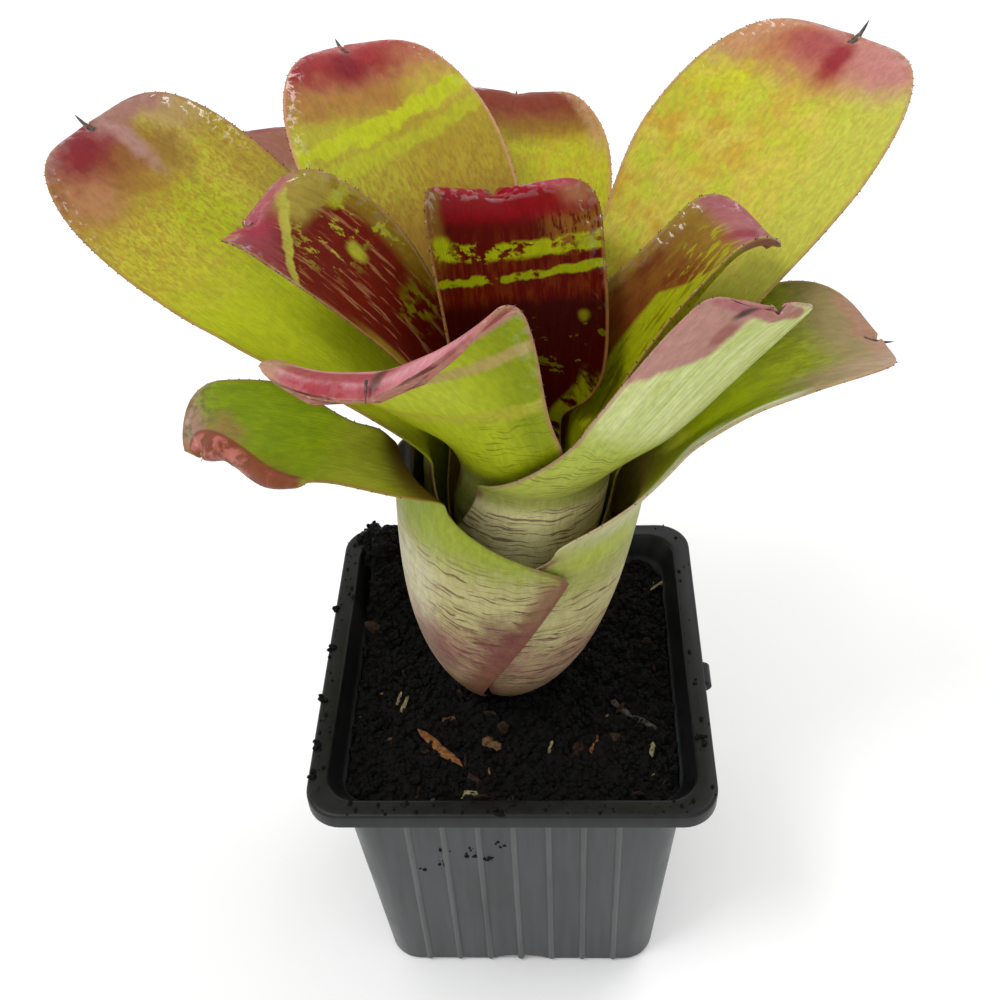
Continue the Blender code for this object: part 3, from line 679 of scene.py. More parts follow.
chance = random.Random(21)
bm = bmesh.new()
middle = POT_WIDTH / 2 - RIM_BAND / 2
for grain in range(RIM_DIRT):
    side = chance.choice(RIM_DIRT_SIDES)
    along = chance.uniform(-1, 1) * (middle - RIM_DIRT_CLEAR)
    across = -middle + chance.uniform(*RIM_DIRT_SPREAD)
    x, y = ((along, across), (-across, along), (along, -across), (across, along))[side]
    size = 0.00016 + 0.00042 * chance.random() ** 3
    lump(bm, (x, y, POT_HEIGHT + size * 0.4), (size, size * 1.3, size * 0.7), grain)
for x, y in RIM_CLODS:
    for crumb in range(5):
        aside, ahead = [chance.uniform(-reach, reach) for reach in CLOD_SCATTER]
        lump(bm, (x + aside, y + ahead, POT_HEIGHT + 0.0003), CLOD_SIZE, x + crumb)
for x, z in WALL_CLODS:
    for crumb in range(6):
        beside = x + chance.uniform(-0.0014, 0.0014)
        height = z + chance.uniform(-0.0013, 0.0013)
        size = 0.00015 + 0.00055 * chance.random() ** 2
        lump(bm, (beside, -wall_half(height), height), (size, size * 0.6, size * 1.1), beside * 900)
rim_dirt = new_piece("rim_dirt", bm)
rim_dirt.data.materials.append(peat)
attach(rim_dirt, "root")


# Stem
# The short woody stem that all the sheaths grow from, rooted in the soil and hidden by them.
def woody_stem():
    material, tree, shader = new_material("stem_wood")
    here = place(tree, "ShaderNodeTexCoord").outputs["Object"]
    long = place(tree, "ShaderNodeMapping", {"Vector": here, "Scale": (300.0, 300.0, 60.0)})
    fibre = place(tree, "ShaderNodeTexNoise", {"Vector": long.outputs[0], "Scale": 1.0, "Detail": 4.0})
    ramp = place(tree, "ShaderNodeValToRGB", {"Fac": fibre.outputs["Fac"]})
    set_ramp(ramp, (0.35, (0.10, 0.06, 0.03, 1)), (0.70, (0.38, 0.30, 0.16, 1)))
    bump = place(tree, "ShaderNodeBump", {"Height": fibre.outputs["Fac"], "Strength": 0.6,
                 "Distance": 0.0004})
    feed(tree, shader, {"Base Color": ramp.outputs["Color"], "Roughness": 0.75, "Normal": bump.outputs[0]})
    return material


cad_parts["stem"].data.materials.clear()
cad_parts["stem"].data.materials.append(woody_stem())


# Leaves
# Each leaf is one fleshy strap: a sheath that wraps round the plant's axis, and a channelled
# blade that leans out of the tube of sheaths, toothed along its margins and spined at its tip.
AXIS_BASE = 0.075
AXIS_LEAN = math.radians(6.0)
TUBE_RADIUS = 0.027
TUBE_ROOT = 0.069
TUBE_FLARE = 0.020
LAYER_STEP = 0.00150
FIRST_LEAF_HEIGHT = 0.0745
LEAF_HEIGHT_STEP = 0.0016
SIDE_CURL = 0.45
ASKEW_ROUNDING = 0.35
MIDRIB_POINTS = 400
MIDRIB_STEP = 0.0005
TIP_HANDLE = 0.35
CHANNEL_FREE = 0.35
ROLL_FREE = 0.6
FACE_FREE = 0.8
TIP_END = 0.9992
SHEATH_ROWS = 46
BLADE_ROWS = 120
ROW_CROWDING = 1.25
LEAF_COLUMNS = 44
LEAF_MIDDLE = 0.0010
LEAF_EDGE = 0.0005
SWOLLEN_REACH = 0.006
PINCH_REACH = 0.014
PINCH_WIDTH = 0.20
HEM_INNERMOST = 0.05
HEM_GROWTH = 0.05
HEM_NARROW = 0.22
HEM_WIDENING = 0.38
MARGIN_WAVE = 0.0004
MARGIN_WAVELENGTH = 0.011
TOOTH_SPACING = 0.0026
TOOTH_SIZE = 0.00036
TOOTH_FATNESS = 0.42
SPINE_SLENDER = 6.0
SPINE_SINK = 0.0030
SPINE_SIDES = 10
SPINE_RINGS = 9
LEAF_DEFAULTS = dict(rise=0.35, wrap=100, wrap_top=60, neck=0.85, neck_at=0.25, widest=0.62, blunt=2.4,
                     channel=0.030, channel_tip=0.060, roll=0, face=None, curl=70, curl_length=0.012,
                     hold=0.5, oblique=0, heading=None, out=0, wrap_low=None, spine=0.0055, spine_bend=0.30,
                     swollen=0.0, pinch=0.0014, hem=None)


def unit(vector):
    return vector / np.linalg.norm(vector)


def slanting(heading, slope):
    """A direction with a compass heading, sloping up from the level."""
    return np.array([math.cos(heading) * math.cos(slope), math.sin(heading) * math.cos(slope),
                     math.sin(slope)])


def tube_radius(height):
    """Radius of the outermost sheath round the plant's axis."""
    return TUBE_RADIUS * (1 - math.exp(-max(height - TUBE_ROOT, 0) / TUBE_FLARE))


def lean(points):
    """Turns points of the upright plant about the foot of its axis, then puts them in the pot."""
    turn = np.array(Matrix.Rotation(AXIS_LEAN, 3, "Y"))
    foot = np.array([0, 0, AXIS_BASE])
    return (points - foot) @ turn.T + foot + np.array([AXIS_X, 0, 0])


class Leaf:
    """One leaf of the upright plant: sheath rows on the tube, then blade rows along a bent midrib.

    Angles are in degrees, anticlockwise from +X seen from above. azimuth and leave: where the blade
    leaves the tube. wrap, wrap_top and hold: how far the sheath wraps low down and at its top, and
    the share of its height that stays full width. tip: angle, reach and height of the tip. out and
    rise: how far the blade's foot leans out, and how long it keeps to that. end and heading: how the
    tip slopes and runs. face: where its back looks. roll: turn about the midrib. width, neck,
    neck_at, widest and blunt: half width and its outline. oblique: how far the tip is askew. channel
    and channel_tip: radius of the cross-section. curl and curl_length: how the tip rolls back.
    wrap_low: the wrap at the foot, where it differs. spine and spine_bend: length of the spine and
    how far it bends up. swollen: how much thicker the tip is than the blade. pinch: how deep the
    crease is that runs down from the spine. hem: where along and across the blade its margin starts
    to roll under, how fast that line runs inwards, and the radius of the roll.
    """

    def __init__(self, layer, form):
        self.form = dict(LEAF_DEFAULTS, **form)
        self.inset = layer * LAYER_STEP
        self.start = FIRST_LEAF_HEIGHT + LEAF_HEIGHT_STEP * layer
        self.leave = self.form["leave"]
        self.turn = math.radians(self.form["azimuth"])
        self.leave_radius = tube_radius(self.leave) - self.inset
        self.lay_midrib()

    def lay_midrib(self):
        form = self.form
        outward = np.array([math.cos(self.turn), math.sin(self.turn), 0.0])
        self.round_about = np.array([-math.sin(self.turn), math.cos(self.turn), 0.0])
        foot = outward * self.leave_radius + np.array([0, 0, self.leave])
        angle, reach, height = form["tip"]
        angle = math.radians(angle)
        tip = np.array([reach * math.cos(angle), reach * math.sin(angle), height])
        run = tip - foot
        span = np.linalg.norm(run)
        way = math.atan2(run[1], run[0])
        heading = way if form["heading"] is None else math.radians(form["heading"])
        start = slanting(way, math.radians(90 - form["out"]))
        end = slanting(heading, math.radians(form["end"]))
        handles = (foot, foot + start * span * form["rise"], tip - end * span * TIP_HANDLE, tip)
        steps = np.linspace(0, 1, MIDRIB_POINTS)[:, None]
        rest = 1 - steps
        self.path = (rest ** 3 * handles[0] + 3 * rest ** 2 * steps * handles[1]
                     + 3 * rest * steps ** 2 * handles[2] + steps ** 3 * handles[3])
        pieces = np.linalg.norm(np.diff(self.path, axis=0), axis=1)
        self.reach = np.concatenate([[0], np.cumsum(pieces)])
        self.length = self.reach[-1]

    def along(self, distance):
        return np.array([np.interp(distance, self.reach, self.path[:, axis]) for axis in range(3)])

    def frame(self, distance):
        """Direction, side and inner normal of the blade at a distance along its midrib."""
        distance = min(max(distance, MIDRIB_STEP), self.length - MIDRIB_STEP)
        forward = unit(self.along(distance + MIDRIB_STEP) - self.along(distance - MIDRIB_STEP))
        side = unit(np.cross([0, 0, 1.0], forward))
        if self.form["face"] is not None:
            face = math.radians(self.form["face"])
            share = smooth_step(distance / self.length / FACE_FREE)
            wanted = np.array([-math.sin(face), math.cos(face), 0.0])
            side = self.round_about * (1 - share) + wanted * share
            side = unit(side - forward * side.dot(forward))
        normal = np.cross(forward, side)
        roll = math.radians(self.form["roll"]) * smooth_step(distance / self.length / ROLL_FREE)
        return (forward, side * math.cos(roll) + normal * math.sin(roll),
                normal * math.cos(roll) - side * math.sin(roll))

    def half_width(self, share):
        """Half the blade's width at a share of its length: narrowed neck, widest part, round tip."""
        form = self.form
        if share >= form["widest"]:
            beyond = min((share - form["widest"]) / (1 - form["widest"]), TIP_END)
            return form["width"] * (1 - beyond ** form["blunt"]) ** (1 / form["blunt"])
        neck = form["width"] * form["neck"]
        if share < form["neck_at"]:
            sheath = math.radians(form["wrap_top"]) * self.leave_radius
            return sheath + (neck - sheath) * smooth_step(share / form["neck_at"])
        widening = smooth_step((share - form["neck_at"]) / (form["widest"] - form["neck_at"]))
        return neck + (form["width"] - neck) * widening

    def sheath_row(self, height, across):
        form = self.form
        radius = tube_radius(height) - self.inset
        risen = (height - self.start) / (self.leave - self.start)
        share = smooth_step((risen - form["hold"]) / (1 - form["hold"]))
        wrap = form["wrap"]
        if form["wrap_low"] is not None:
            wrap = form["wrap_low"] + (wrap - form["wrap_low"]) * min(risen / form["hold"], 1)
        half_angle = math.radians(wrap * (1 - share) + form["wrap_top"] * share)
        angle = self.turn + across * half_angle
        row = np.stack([radius * np.cos(angle), radius * np.sin(angle), np.full_like(across, height)], 1)
        return row, half_angle * radius

    def blade_row(self, distance, across):
        form = self.form
        straight = self.length - form["curl_length"]
        held = min(distance, straight)
        forward, side, normal = self.frame(held)
        middle = self.along(held)
        share = held / self.length
        free = smooth_step(share / CHANNEL_FREE)
        radius = math.hypot(middle[0], middle[1])
        channel = form["channel"] + (form["channel_tip"] - form["channel"]) * smooth_step(share)
        bend = (1 - free) / radius + free / channel
        inward = np.array([-middle[0], -middle[1], 0]) / radius
        around = np.array([-middle[1], middle[0], 0]) / radius
        side = unit(around * (1 - free) + side * free)
        inner = inward * (1 - free) + normal * free
        inner = unit(inner - side * inner.dot(side))
        half = self.half_width(distance / self.length)
        offset = across * half
        row = middle + np.outer(np.sin(offset * bend) / bend, side)
        row = row + np.outer((1 - np.cos(offset * bend)) / bend, inner)
        askew = form["oblique"] * across * share ** 2 * (half / form["width"]) ** ASKEW_ROUNDING
        row = row + np.outer(askew, forward)
        beyond = distance - straight
        if beyond > 0:
            sides = 1 - SIDE_CURL * (offset / form["width"]) ** 2
            turn = math.radians(form["curl"]) / form["curl_length"] * sides
            row = row + np.outer(np.sin(turn * beyond) / turn, forward)
            row = row - np.outer((1 - np.cos(turn * beyond)) / turn, normal)
        return row, half


def roll_under(points, across, shares, hem):
    """Rolls one margin back under the blade, from a line that runs inwards towards the tip."""
    begin, first, slope, radius = hem
    sheet = points.copy()
    for row, share in enumerate(shares):
        if share <= begin:
            continue
        start = max(first - slope * (share - begin), HEM_INNERMOST)
        widened = HEM_NARROW + (1 - HEM_NARROW) * smooth_step((share - begin) / HEM_WIDENING)
        bend = smooth_step((share - begin) / HEM_GROWTH) / (radius * widened)
        line = sheet[row]
        lengths = np.concatenate([[0], np.cumsum(np.linalg.norm(np.diff(line, axis=0), axis=1))])
        at = np.interp(start, across, lengths)
        foot, ahead = [np.array([np.interp(where, lengths, line[:, axis]) for axis in range(3)])
                       for where in (at, at + MIDRIB_STEP)]
        away = unit(ahead - foot)
        column = int(np.searchsorted(across, start))
        under = unit(np.cross(away, line[column] - sheet[row - 1, column]))
        beyond = across > start
        turn = (lengths[beyond] - at) * bend
        points[row, beyond] = (foot + np.outer(np.sin(turn) / bend, away)
                               + np.outer((1 - np.cos(turn)) / bend, under))


def leaf_grid(leaf, seed):
    """The middle surface as a grid of points, with what the paint needs to know at each one."""
    across = np.linspace(-1, 1, LEAF_COLUMNS + 1)
    across = np.sin(across * math.pi / 2 * 0.93) / math.sin(math.pi / 2 * 0.93)
    points, halves, alongs = [], [], []
    for step in range(SHEATH_ROWS):
        height = leaf.start + (leaf.leave - leaf.start) * step / SHEATH_ROWS
        row, half = leaf.sheath_row(height, across)
        points.append(row)
        halves.append(half)
        alongs.append(height - leaf.leave)
    for step in range(BLADE_ROWS + 1):
        distance = leaf.length * (1 - (1 - step / BLADE_ROWS) ** ROW_CROWDING)
        row, half = leaf.blade_row(distance, across)
        points.append(row)
        halves.append(half)
        alongs.append(distance)
    points = np.array(points)
    halves = np.array(halves)[:, None]
    alongs = np.array(alongs)[:, None]
    if leaf.form["hem"] is not None:
        roll_under(points, across, alongs[:, 0] / leaf.length, leaf.form["hem"])
    lengthwise = np.gradient(points, axis=0)
    crosswise = np.gradient(points, axis=1)
    normals = np.cross(lengthwise, crosswise)
    normals /= np.linalg.norm(normals, axis=2)[:, :, None] + 1e-12
    blade = np.clip(alongs / leaf.length, 0, 1)
    wave = np.zeros(points.shape[:2])
    for row in range(points.shape[0]):
        for column in (0, 1):
            phase = Vector((alongs[row, 0] / MARGIN_WAVELENGTH, seed * 7.3 + column * 3.1, 0))
            strength = noise.noise(phase) * MARGIN_WAVE * math.sin(math.pi * min(blade[row, 0] * 1.2, 1))
            lopsided = across if column else -across
            wave[row] += strength * np.clip(lopsided, 0, 1) ** 2
    near_tip = np.clip(1 - (leaf.length - alongs) / PINCH_REACH, 0, 1) ** 1.5
    crease = leaf.form["pinch"] * near_tip * np.exp(-(across / PINCH_WIDTH) ** 2)
    points = points + normals * (wave - crease)[:, :, None]
    edge = (1 - np.abs(across))[None, :] * halves
    from_tip = np.broadcast_to(leaf.length - alongs, edge.shape)
    facts = {
        "across": np.broadcast_to(across[None, :], edge.shape),
        "share": np.broadcast_to(np.where(alongs < 0, alongs / (leaf.leave - leaf.start),
                                          alongs / leaf.length), edge.shape),
        "edge": np.minimum(edge, from_tip + 0.0002),
        "from_tip": from_tip,
    }
    flat = np.stack([across[None, :] * halves, np.broadcast_to(alongs, edge.shape),
                     np.full(edge.shape, seed * 1.7)], 2)
    return points, normals, facts, flat, lengthwise, crosswise


def spine_rings(leaf):
    """The dark curved spine at the tip, as rings of points round a line that bends upwards."""
    before = leaf.blade_row(leaf.length - 2 * MIDRIB_STEP, np.zeros(1))[0][0]
    tip = leaf.blade_row(leaf.length, np.zeros(1))[0][0]
    forward = unit(tip - before)
    inner = leaf.frame(leaf.length)[2]
    side = unit(np.cross(inner, forward))
    inner = np.cross(forward, side)
    tip = tip - inner * leaf.form["pinch"] * 0.8
    rings = []
    length = leaf.form["spine"]
    for ring in range(SPINE_RINGS):
        share = ring / (SPINE_RINGS - 1)
        along = -SPINE_SINK + share * (length + SPINE_SINK)
        middle = tip + forward * along + inner * leaf.form["spine_bend"] * length * share ** 2
        radius = length / SPINE_SLENDER * (1 - share) ** 0.8 * (1 + 0.15 * math.sin(share * 17)) + 0.00004
        angles = np.arange(SPINE_SIDES) * 2 * math.pi / SPINE_SIDES
        rings.append(middle + np.outer(np.cos(angles) * radius * 1.3, side)
                     + np.outer(np.sin(angles) * radius, inner))
    return np.array(rings)


def grid_faces(rows, columns, start=0, closed=False):
    """Corner numbers of the four-sided faces of a grid; a closed one joins its last column to its first."""
    faces = []
    last = columns if closed else columns - 1
    for row in range(rows - 1):
        for column in range(last):
            after = (column + 1) % columns
            faces.append((start + row * columns + column, start + row * columns + after,
                          start + (row + 1) * columns + after, start + (row + 1) * columns + column))
    return faces


def leaf_mesh(name, leaf, seed):
    """One closed fleshy sheet with a round margin, and the spine rooted in its tip."""
    points, normals, facts, flat, lengthwise, crosswise = leaf_grid(leaf, seed)
    rows, columns = points.shape[:2]
    across = facts["across"]
    thick = LEAF_EDGE + (LEAF_MIDDLE - LEAF_EDGE) * (1 - across ** 4)
    near_tip = np.clip(1 - facts["from_tip"] / SWOLLEN_REACH, 0, 1) * (1 - across ** 4)
    thick = (thick + leaf.form["swollen"] * near_tip)[:, :, None] / 2
    inner = points + normals * thick
    outer = points - normals * thick
    count = rows * columns
    faces = [tuple(reversed(face)) for face in grid_faces(rows, columns)]
    faces += grid_faces(rows, columns, count)
    border = [(0, column) for column in range(columns)]
    border += [(row, columns - 1) for row in range(1, rows)]
    border += [(rows - 1, column) for column in range(columns - 2, -1, -1)]
    border += [(row, 0) for row in range(rows - 2, 0, -1)]
    rim, outwards, teeth = [], [], []
    margin_length = 0.0
    for row, column in border:
        away = np.zeros(3)
        if column in (0, columns - 1):
            way = crosswise[row, column] * (1 if column else -1)
            away = away + unit(way)
        if row in (0, rows - 1):
            away = away + unit(lengthwise[row, column]) * (1 if row else -1)
        away = unit(away)
        rim.append(points[row, column] + away * LEAF_EDGE / 2)
        forward = unit(lengthwise[row, column])
        outwards.append(lean(unit(away + 0.5 * forward)) - lean(np.zeros(3)))
        on_margin = column in (0, columns - 1) and 0.06 < facts["share"][row, column] < 0.985
        if on_margin:
            margin_length += float(np.linalg.norm(lengthwise[row, column]))
        teeth.append(margin_length if on_margin else -1.0)
    base = 2 * count
    size = len(border)
    for index, (row, column) in enumerate(border):
        after = (index + 1) % size
        next_row, next_column = border[after]
        here = row * columns + column
        there = next_row * columns + next_column
        faces.append((here, there, base + after, base + index))
        faces.append((base + index, base + after, count + there, count + here))
    spine = spine_rings(leaf)
    spine_start = base + size
    leaf_faces = len(faces)
    faces += grid_faces(SPINE_RINGS, SPINE_SIDES, spine_start, closed=True)
    faces.append(tuple(range(spine_start + SPINE_SIDES - 1, spine_start - 1, -1)))
    faces.append(tuple(range(spine_start + (SPINE_RINGS - 1) * SPINE_SIDES,
                             spine_start + SPINE_RINGS * SPINE_SIDES)))
    everything = np.concatenate([inner.reshape(-1, 3), outer.reshape(-1, 3), np.array(rim),
                                 spine.reshape(-1, 3)])
    mesh = bpy.data.meshes.new(name)
    mesh.from_pydata(lean(everything).tolist(), [], faces)
    mesh.shade_smooth()
    total = len(everything)

    def keep(label, sheet_values, rim_values, kind="FLOAT", field="value"):
        wide = 3 if kind == "FLOAT_VECTOR" else 1
        values = np.zeros((total, wide))
        sheet = np.asarray(sheet_values).reshape(-1, wide)
        values[:count] = sheet
        values[count:base] = sheet
        values[base:spine_start] = np.asarray(rim_values).reshape(-1, wide)
        mesh.attributes.new(label, kind, "POINT").data.foreach_set(field, values.astype(np.float32).ravel())

    for label, values in facts.items():
        keep(label, values, [values[row, column] for row, column in border])
    keep("flat", flat, [flat[row, column] for row, column in border], "FLOAT_VECTOR", "vector")
    keep("outwards", np.zeros((count, 3)), outwards, "FLOAT_VECTOR", "vector")
    keep("margin", np.full(count, -1.0), teeth)
    inner_face = np.zeros(total)
    inner_face[:count] = 1.0
    inner_face[base:spine_start] = 0.5
    mesh.attributes.new("inner", "FLOAT", "POINT").data.foreach_set("value", inner_face.astype(np.float32))
    slots = np.zeros(len(faces), dtype=np.int32)
    slots[leaf_faces:] = 1
    mesh.polygons.foreach_set("material_index", slots)
    bm = bmesh.new()
    bm.from_mesh(mesh)
    bmesh.ops.recalc_face_normals(bm, faces=bm.faces)
    bm.to_mesh(mesh)
    bm.free()
    return mesh


def tooth_tree():
    """Sets a small horny tooth on the margin every so often, leaning towards the leaf's tip."""
    tree, given, result = geometry_tree("margin_teeth", (
        ("Spacing", "NodeSocketFloat"), ("Row Step", "NodeSocketFloat"), ("Size", "NodeSocketFloat"),
        ("Seed", "NodeSocketInt"), ("Material", "NodeSocketMaterial")))
    length = place(tree, "GeometryNodeInputNamedAttribute", {"Name": "margin"}, data_type="FLOAT")
    where = length.outputs["Attribute"]
    rest = calc(tree, "MODULO", where, given.outputs["Spacing"])
    due = calc(tree, "LESS_THAN", rest, given.outputs["Row Step"])
    on_margin = calc(tree, "GREATER_THAN", where, 0.0)
    chosen = calc(tree, "MULTIPLY", due, on_margin)
    points = place(tree, "GeometryNodeMeshToPoints", {"Mesh": given.outputs["Geometry"],
                   "Selection": chosen})
    way = place(tree, "GeometryNodeInputNamedAttribute", {"Name": "outwards"}, data_type="FLOAT_VECTOR")
    turn = place(tree, "FunctionNodeAlignRotationToVector", {"Vector": way.outputs["Attribute"]}, axis="Z")
    foot = calc(tree, "MULTIPLY", given.outputs["Size"], TOOTH_FATNESS)
    cone = place(tree, "GeometryNodeMeshCone", {"Vertices": 5, "Radius Bottom": foot,
                 "Radius Top": 0.0, "Depth": given.outputs["Size"]})
    sizes = place(tree, "FunctionNodeRandomValue", {2: 0.55, 3: 1.25, "Seed": given.outputs["Seed"]},
                  data_type="FLOAT")
    teeth = place(tree, "GeometryNodeInstanceOnPoints", {"Points": points.outputs[0],
                  "Instance": cone.outputs["Mesh"], "Rotation": turn.outputs[0],
                  "Scale": sizes.outputs[1]})
    real = place(tree, "GeometryNodeRealizeInstances", {0: teeth.outputs[0]})
    clad = place(tree, "GeometryNodeSetMaterial", {"Geometry": real.outputs[0],
                 "Material": given.outputs["Material"]})
    joined = place(tree, "GeometryNodeJoinGeometry")
    tree.links.new(clad.outputs[0], joined.inputs[0])
    tree.links.new(given.outputs["Geometry"], joined.inputs[0])
    tree.links.new(joined.outputs[0], result.inputs[0])
    return tree


def shade_group(name, inputs, outputs):
    """An empty group for shaders, with named inputs and outputs."""
    tree = bpy.data.node_groups.new(name, "ShaderNodeTree")
    for label, kind in inputs:
        tree.interface.new_socket(label, in_out="INPUT", socket_type=kind)
    for label, kind in outputs:
        tree.interface.new_socket(label, in_out="OUTPUT", socket_type=kind)
    return tree, tree.nodes.new("NodeGroupInput"), tree.nodes.new("NodeGroupOutput")


def blotch_group():
    """Cloudy marks on a leaf: streaks where Stretch is over one, cross dashes where it is under."""
    tree, given, result = shade_group("leaf_blotches", (
        ("Vector", "NodeSocketVector"), ("Size", "NodeSocketFloat"), ("Stretch", "NodeSocketFloat"),
        ("Amount", "NodeSocketFloat"), ("Softness", "NodeSocketFloat"), ("Seed", "NodeSocketFloat")),
        (("Mask", "NodeSocketFloat"),))
    across = calc(tree, "DIVIDE", 1.0, given.outputs["Size"])
    along = calc(tree, "DIVIDE", across, given.outputs["Stretch"])
    scale = place(tree, "ShaderNodeCombineXYZ", {"X": across, "Y": along, "Z": 1.0})
    drift = place(tree, "ShaderNodeTexNoise", {"Vector": given.outputs["Vector"], "Scale": 170.0,
                  "Detail": 1.0})
    waver = remap(tree, drift.outputs["Fac"], (0.3, 0.7), (-0.0007, 0.0007))
    shift = place(tree, "ShaderNodeCombineXYZ", {"Y": waver})
    bent = place(tree, "ShaderNodeVectorMath", {0: given.outputs["Vector"], 1: shift.outputs[0]},
                 operation="ADD")
    sized = place(tree, "ShaderNodeVectorMath", {0: bent.outputs[0], 1: scale.outputs[0]},
                  operation="MULTIPLY")
    seed = place(tree, "ShaderNodeCombineXYZ", {"X": given.outputs["Seed"], "Z": given.outputs["Seed"]})
    moved = place(tree, "ShaderNodeVectorMath", {0: sized.outputs[0], 1: seed.outputs[0]}, operation="ADD")
    cloud = place(tree, "ShaderNodeTexNoise", {"Vector": moved.outputs[0], "Scale": 1.0, "Detail": 4.0,
                  "Roughness": 0.6})
    spread = remap(tree, cloud.outputs["Fac"], (0.28, 0.72))
    middle = calc(tree, "SUBTRACT", 1.0, given.outputs["Amount"])
    low = calc(tree, "SUBTRACT", middle, given.outputs["Softness"])
    high = calc(tree, "ADD", middle, given.outputs["Softness"])
    mask = place(tree, "ShaderNodeMapRange", {"Value": spread, "From Min": low,
                 "From Max": high}, interpolation_type="SMOOTHSTEP")
    tree.links.new(mask.outputs[0], result.inputs[0])
    return tree


blotches = blotch_group()
PATCH_RAGGED = 1.5
WET_MARGIN = (0.0045, 0.0015)
WET_REACH = (0.040, 0.012)
CREST_BELOW = (0.0060, 0.0048)
CREST_ABOVE = (0.0028, 0.0040)
BEAD_SCALE = 480.0
BEAD_EDGE = (0.48, 0.56)
FLESH_GLOW = (0.0008, 0.0010, 0.0003)


